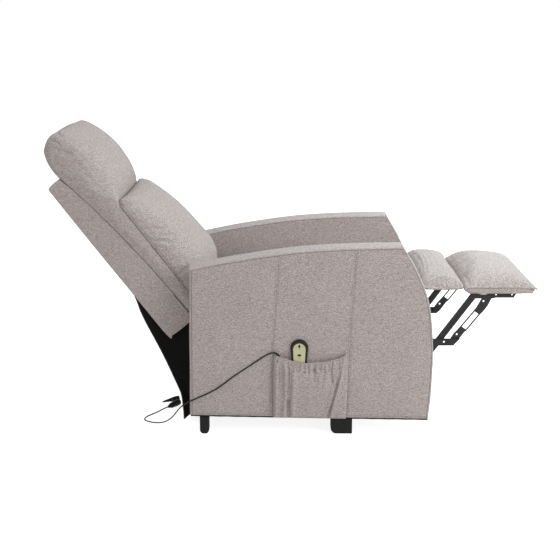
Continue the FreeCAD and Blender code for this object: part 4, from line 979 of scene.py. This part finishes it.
def arms(cloth, thread, lining):
    """Arm covers, each (x, forward, up) = (face - relief + puff + unevenness, panel grid), with their bands,
    threads, stitches and lining; the lining strip below each arm is partly painted shade under it."""
    grid, across, height, seams = arm_panel_grid()
    f, z = grid[..., 0], grid[..., 1]
    back_off, sewn, puff, far_in = arm_relief(f, z, across, height, seams)
    flat = metres(0 * f, f, z)
    for name, node in (("right", "arm_right"), ("left", "arm_left")):
        sign = 1 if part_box(node)[0].x > 0 else -1
        uneven = waves(flat, 0.16, 5 + sign) * 1.2 * far_in
        uneven = uneven + waves(flat * (1, 1, 2.2), 0.07, 8 + sign) * 0.5 * far_in
        outer = metres(sign * (ARM_OUT - back_off - sewn + puff + uneven), f, z)
        inner = metres(sign * (ARM_IN + back_off - uneven * 0.6 - puff * 0.4), f, z)
        parts = [(outer, grid_faces(*f.shape)), (inner, grid_faces(*f.shape)), arm_band(outer, inner, sign)]
        cover = mesh_piece("arm_cover_" + name, parts, cloth, "chassis", weld=2e-5)
        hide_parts(node)
        threads = arm_threads(outer, inner, f, z, seams, sign)
        mesh_piece("arm_seams_" + name, threads, thread, "chassis")
        stitch_rows("arm_stitches_" + name, cover, seams, sign, thread)
        # black lining strip, which also paints the shade along the arm's bottom edge
        mesh_piece("arm_lining_and_shade_" + name, arm_lining_and_shade(sign), lining, "chassis")


STITCH_PITCH = 4.6
STITCH_HALF = 0.0017         # metres, half of a stitch's length
STITCH_RADIUS = 0.00055


def stitch_rows(name, cover, seams, sign, thread):
    """Two rows of short stitches beside each sewn line, each a bead that narrows to both of its ends."""
    parts = []
    for line in seams:
        for offset in (-5.0, 5.0):
            dense = even(line, 1200)
            run = np.linspace(0, 1199, int(len_of(line) / STITCH_PITCH)).astype(int)[3:-3]
            centre = dense[run]
            ahead = dense[np.minimum(run + 4, 1199)] - dense[np.maximum(run - 4, 0)]
            ahead /= np.linalg.norm(ahead, axis=1)[:, None]
            start = metres(sign * (ARM_OUT + 2), centre[:, 0] + offset, centre[:, 1])
            base = laid_on(cover, start, 0.0001)
            along = np.stack([0 * centre[:, 0], -ahead[:, 0], ahead[:, 1]], -1)
            outward = np.array([sign, 0, 0.0])
            t = np.array([-1, -.75, 0, .75, 1.0])
            thick = np.array([.15, .8, 1, .8, .15]) * STITCH_RADIUS
            angles = np.linspace(0, 2 * math.pi, 5, endpoint=False)
            ring = (np.cos(angles)[None, None, :, None] * np.cross(along, outward)[:, None, None]
                    + np.sin(angles)[None, None, :, None] * outward) * thick[None, :, None, None]
            rings = base[:, None, None] + along[:, None, None] * (t * STITCH_HALF)[None, :, None, None] + ring
            faces = grid_faces(5, 5, wrap_columns=True)
            every = (faces[None] + (np.arange(len(base)) * 25)[:, None, None]).reshape(-1, 4)
            parts.append((rings, every))
    mesh_piece(name, parts, thread, "chassis", weld=0, outward=False)


# ---------------------------------------------------------------- skirt, pocket, handset and cord
def skirt(cloth, lining):
    """Rear flap from the back's rear face almost to the floor, with black gussets folded in at both sides."""
    across = np.linspace(-250, 250, 61)
    drop = even(curve([(-536, 474), (-521, 436), (-498, 373), (-437, 249), (-387, 134), (-375, 99),
                       (-370, 50), (-368, 14)], 200), 61)
    share = np.linspace(0, 1, 61)
    ripple = 5.0 * share[:, None] ** 2 * np.sin(across[None] / 37.0 + 0.6)
    forward = drop[:, 0][:, None] + ripple
    up = drop[:, 1][:, None] + 0 * across[None]
    parts = sheet_parts(metres(across[None], forward, up), metres(across[None], forward + 2.0, up))
    flap = mesh_piece("rear_skirt_cloth", parts, cloth)
    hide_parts("rear_skirt")
    gussets = []
    for sign in (-1, 1):
        t = np.linspace(0, 1, 25)
        front = np.stack([-330 + 0 * share, np.interp(share, [0, 1], [400, 40])], -1)
        rear = np.stack([drop[:, 0] + 3, drop[:, 1]], -1)
        line = rear[:, None] * (1 - t)[None, :, None] + front[:, None] * t[None, :, None]
        fold = 12.0 * np.sin(t * math.pi)[None] * np.sin(share * 5)[:, None]
        parts = sheet_parts(metres(sign * (249 - np.abs(fold)), line[..., 0], line[..., 1]),
                            metres(sign * (247.5 - np.abs(fold)), line[..., 0], line[..., 1]))
        name = "skirt_gusset_" + side_of(sign)
        gussets.append(mesh_piece(name, parts, lining))
    for piece in (flap, *gussets):
        tuple(metres(0, -500, 400))
        tuple(metres(0, -390, 120))
        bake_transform(piece)


def pocket(cloth, thread):
    """Gathered pocket on the outer face of the right arm: it stands off the face by a smooth belly that
    clears the handset and its cord, plus folds, each depth * exp(-(distance / width)^2), that fall from the
    gathers at its mouth."""
    mouth = curve([(-58, 279), (-30, 274), (10, 261), (49, 255), (109, 259), (156, 270), (186, 285)], 220)
    foot = even([(-60, 61), (183, 57)], 220)
    left = even([(-60, 61), (-61, 170), (-58, 279)], 130)
    right = even([(183, 57), (188, 170), (186, 285)], 130)
    patch = coons(foot, mouth, left, right)
    f, z = patch[..., 0], patch[..., 1]
    u = np.linspace(0, 1, 220)[None]
    v = np.linspace(0, 1, 130)[:, None]
    below = np.interp(f, mouth[:, 0], mouth[:, 1]) - z
    belly = 16.5 * np.clip(np.sin(math.pi * u), 0, 1) ** 0.25 * (0.45 + 0.55 * v ** 0.6)
    over_handset = 2.0 * np.exp(-(((f - 27) / 37) ** 6)) * np.clip((z - 150) / 40, 0, 1)
    plane = metres(0 * f, f, z).reshape(-1, 3)

    def fold(points, width, depth):
        d, along = distance_to(plane, metres(0, *curve(points, 24).T))
        fade = np.clip(along / 0.03, 0.15, 1).reshape(f.shape)
        return depth * fade * np.exp(-((d.reshape(f.shape) * 1000 / width) ** 2))
    folds = sum(fold(*row) for row in [
        ([(-36, 262), (-35, 205), (-31, 165), (-27, 140)], 7.0, -9.0),
        ([(-18, 264), (-18, 215), (-20, 160), (-23, 62)], 6.5, 7.5),
        ([(-5, 244), (-6, 190), (-9, 125), (-8, 60)], 5.0, -13.0),
        ([(11, 240), (9, 180), (7, 120), (7, 60)], 8.0, 5.0),
        ([(-47, 262), (-49, 180), (-51, 64)], 5.5, 6.0),
        ([(173, 262), (162, 195), (144, 125), (129, 58)], 4.0, 7.0),
        ([(160, 215), (149, 160), (134, 105), (120, 57)], 5.5, -10.0),
        ([(144, 178), (130, 125), (112, 62)], 6.0, 3.4),
        ([(137, 264), (131, 232), (135, 185)], 5.0, -6.5),
        ([(118, 258), (116, 225), (112, 180)], 6.5, 3.5),
        ([(68, 250), (72, 226), (76, 190)], 5.5, -3.5),
        ([(90, 252), (94, 215), (92, 170)], 6.0, 2.6)])
    rng = np.random.default_rng(12)
    root = -54.0
    while root < 182:
        long = 14 + 26 * rng.random()
        top = float(np.interp(root, mouth[:, 0], mouth[:, 1]))
        tip = root + 4 * rng.normal()
        folds += fold([(root, top + 2), ((root + tip) / 2, top - long / 2), (tip, top - long)],
                      2.6 + 1.6 * rng.random(), -4.5 - 3.5 * rng.random())
        root += 7.5 + 8 * rng.random()
    hem = 1.5 * np.exp(-((below / 3.5) ** 2)) - 1.0 * np.exp(-(((below - 10) / 2.0) ** 2))
    pinned = np.minimum(1, np.minimum(u, 1 - u) * 30) * np.minimum(1, v * 30)
    clear = 9.8 * np.clip((f + 50) / 12, 0, 1) * np.clip((46 - f) / 12, 0, 1) * np.clip((z - 118) / 12, 0, 1)
    clear = np.maximum(clear, 14.0 * np.clip((f + 10) / 6, 0, 1) * np.clip((64 - f) / 6, 0, 1)
                       * np.clip((z - 166) / 12, 0, 1))
    depth = 1.2 + np.maximum(0.4, belly + over_handset + folds + hem) * pinned
    depth = np.minimum(np.maximum(depth, clear), 24.0)
    outer = metres(-(ARM_OUT + depth), f, z)
    inner = metres(-(ARM_OUT + np.maximum(depth - 1.6, 0.1)), f, z)
    piece = mesh_piece("side_pocket", sheet_parts(outer, inner), cloth, "chassis")
    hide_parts("handset_pocket")
    side = outer[3:, 0] - (0.0004, 0, 0)
    mesh_piece("pocket_seams", [tube_parts(side, 0.0009, 5)], thread, "chassis")


def handset_outline(inset, count=96):
    """(forward, up) loop round the handset: a half-round top on sides that draw in to a narrow foot."""
    radius, centre, low = 29.5 - inset, (27.0, 302.5), 182.0 + inset
    turn = np.linspace(0, math.pi, 49)
    crown = np.stack([centre[0] + radius * np.cos(turn), centre[1] + radius * np.sin(turn)], -1)
    foot = 24.5 - inset
    sides = np.array([(-radius, centre[1]), (-foot - 0.9, 262.0), (-foot, low + 6), (-foot + 6, low),
                      (foot - 6, low), (foot, low + 6), (foot + 0.9, 262.0), (radius, centre[1])])
    sides[:, 0] += centre[0]
    return np.concatenate([crown, even(sides, count - 47)[1:-1]])


def handset_case(casing, ink):
    """Rounded case with a raised rim round its face, and small plain marks beside the buttons."""
    far, front = -365.3, -377.8
    profile = [(far, 1.6), (far - 0.7, 0.6), (far - 2.2, 0.0), (front + 3.4, 0.0), (front + 1.9, 0.5),
               (front + 0.8, 1.5), (front + 0.1, 3.0), (front - 0.15, 4.6), (front, 6.4), (front + 0.7, 7.8),
               (front + 0.9, 9.4), (front + 0.9, 16.0), (front + 0.9, 23.0)]
    rings = [metres(x, *handset_outline(inset).T) for x, inset in profile]
    middle = handset_outline(24.3)
    ends = [metres(front + 0.9, *np.repeat(middle.mean(0)[None], len(middle), 0).T),
            metres(far, *np.repeat(middle.mean(0)[None], len(middle), 0).T)]
    grid = np.stack([ends[1], *rings, ends[0]])
    parts = [(grid, grid_faces(len(grid), grid.shape[1], wrap_columns=True))]
    case = mesh_piece("handset_case", parts, casing, "chassis", weld=2e-5)
    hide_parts("handset_body")
    marks = []
    x = front - 1.06

    def mark(points):
        flat = metres(x, *np.array(points, float).T)
        count = len(points)
        marks.append((np.concatenate([flat, flat + (0.0001, 0, 0)]),
                      [list(range(count)), list(range(2 * count - 1, count - 1, -1))]
                      + [[i, (i + 1) % count, count + (i + 1) % count, count + i] for i in range(count)]))
    for side in (-1, 1):
        mark([(27 + side * 9.5, 309.2), (27 + side * 11.9, 308.2), (27 + side * 10.7, 311.0)])
        near, far_edge = 27 + side * 9.8, 27 + side * 11.6
        mark([(near, 304.6), (far_edge, 304.6), (far_edge, 305.5), (near, 305.5)])
    mark([(24.2, 298.6), (29.8, 298.6), (29.8, 299.7), (24.2, 299.7)])
    mark([(24.0, 270.4), (30.0, 270.4), (30.0, 271.7), (24.0, 271.7)])
    mesh_piece("handset_marks", marks, ink, "chassis")


def handset_cord(material):
    """Round cord: a smooth spline with the route's points as its controls."""
    data = bpy.data.curves.new("handset_flex", "CURVE")
    data.dimensions = "3D"
    data.bevel_depth = CORD_THICK / 2
    data.bevel_resolution = 3
    data.resolution_u = 8
    data.use_fill_caps = True
    line = data.splines.new("NURBS")
    line.points.add(len(CORD_ROUTE) - 1)
    for point, (x, forward, up) in zip(line.points, CORD_ROUTE):
        point.co = (x / 1000, -forward / 1000, up / 1000, 1)
    line.order_u = 3
    line.use_endpoint_u = True
    data.materials.append(material)
    obj = bpy.data.objects.new("handset_flex", data)
    bpy.context.scene.collection.objects.link(obj)
    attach(obj, "chassis")
    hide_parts("handset_cord")


# ---------------------------------------------------------------- the whole chair
COOL = (0.84, 1.02, 1.08)    # tint of the lamps overhead

camera()
world_light(strength=0.515)
lamp("sky_lamp", (-0.4, 0.0, 3.2), (0, 0, 0.4), 3.0, 0.75, COOL)
lamp("front_lamp", (-0.6, -1.35, 2.1), (0, -0.5, 0.5), 1.4, 1.65, COOL)
lamp("footrest_lamp", (0.3, -0.95, 1.5), (0, -0.75, 0.5), 0.7, 4.6, COOL)
lamp("key_lamp", (-2.7, -2.6, 1.7), (0, -0.1, 0.4), 1.5, 4.5)

floor_points = np.array([[-30, -30, 0], [30, -30, 0], [30, 30, 0], [-30, 30, 0]], float)
floor_parts = [(floor_points, np.array([[0, 1, 2, 3]]))]
floor = mesh_piece("floor", floor_parts, floor_finish(), weld=0, outward=False)

rubber_cord = rubber("cord_rubber", (0.0152, 0.0138, 0.0136))
handset_cord(rubber_cord)

upright_cloth = woven("greige_melange", GREIGE)
leaned_cloth = woven("greige_melange_back", GREIGE, angle=-LEAN)
seam_thread = woven("greige_thread", tuple(c * 0.55 for c in GREIGE), contrast=0.3)
lining = black_cloth()
steel = painted_steel()

back_pieces(leaned_cloth)
seat_pieces(upright_cloth)
footrest_pieces(upright_cloth, seam_thread)
arms(upright_cloth, seam_thread, lining)
skirt(upright_cloth, lining)
pocket(upright_cloth, seam_thread)
casing = moulded("handset_casing", (0.0076, 0.0062, 0.0054), 0.26, 1400.0, 0.00006, 0.16)
handset_case(casing, rubber("handset_ink", (0.035, 0.030, 0.022)))

finishes = {
    "upholstery": upright_cloth,
    "skirt_cloth": lining,
    "foot_plastic": moulded("foot_nylon", (0.0168, 0.016, 0.0153), 0.6),
    "timber": plywood(),
    "webbing": webbing_cloth(),
    "motor_plastic": moulded("motor_casing", (0.030, 0.030, 0.031), 0.5),
    "handset_black": casing,
    "handset_face": cream_face(),
    "button_rubber": rubber("button_rubber", (0.0168, 0.0152, 0.0092)),
    "cord_rubber": rubber_cord,
    "bright_steel": plated_steel(),
    "black_steel": steel}
for obj in nodes.values():
    for index, old in enumerate(obj.data.materials):
        key = old.name.split(".")[0] if old else ""
        obj.data.materials[index] = finishes.get(key, steel)

bpy.context.scene.view_settings.view_transform = "Standard"
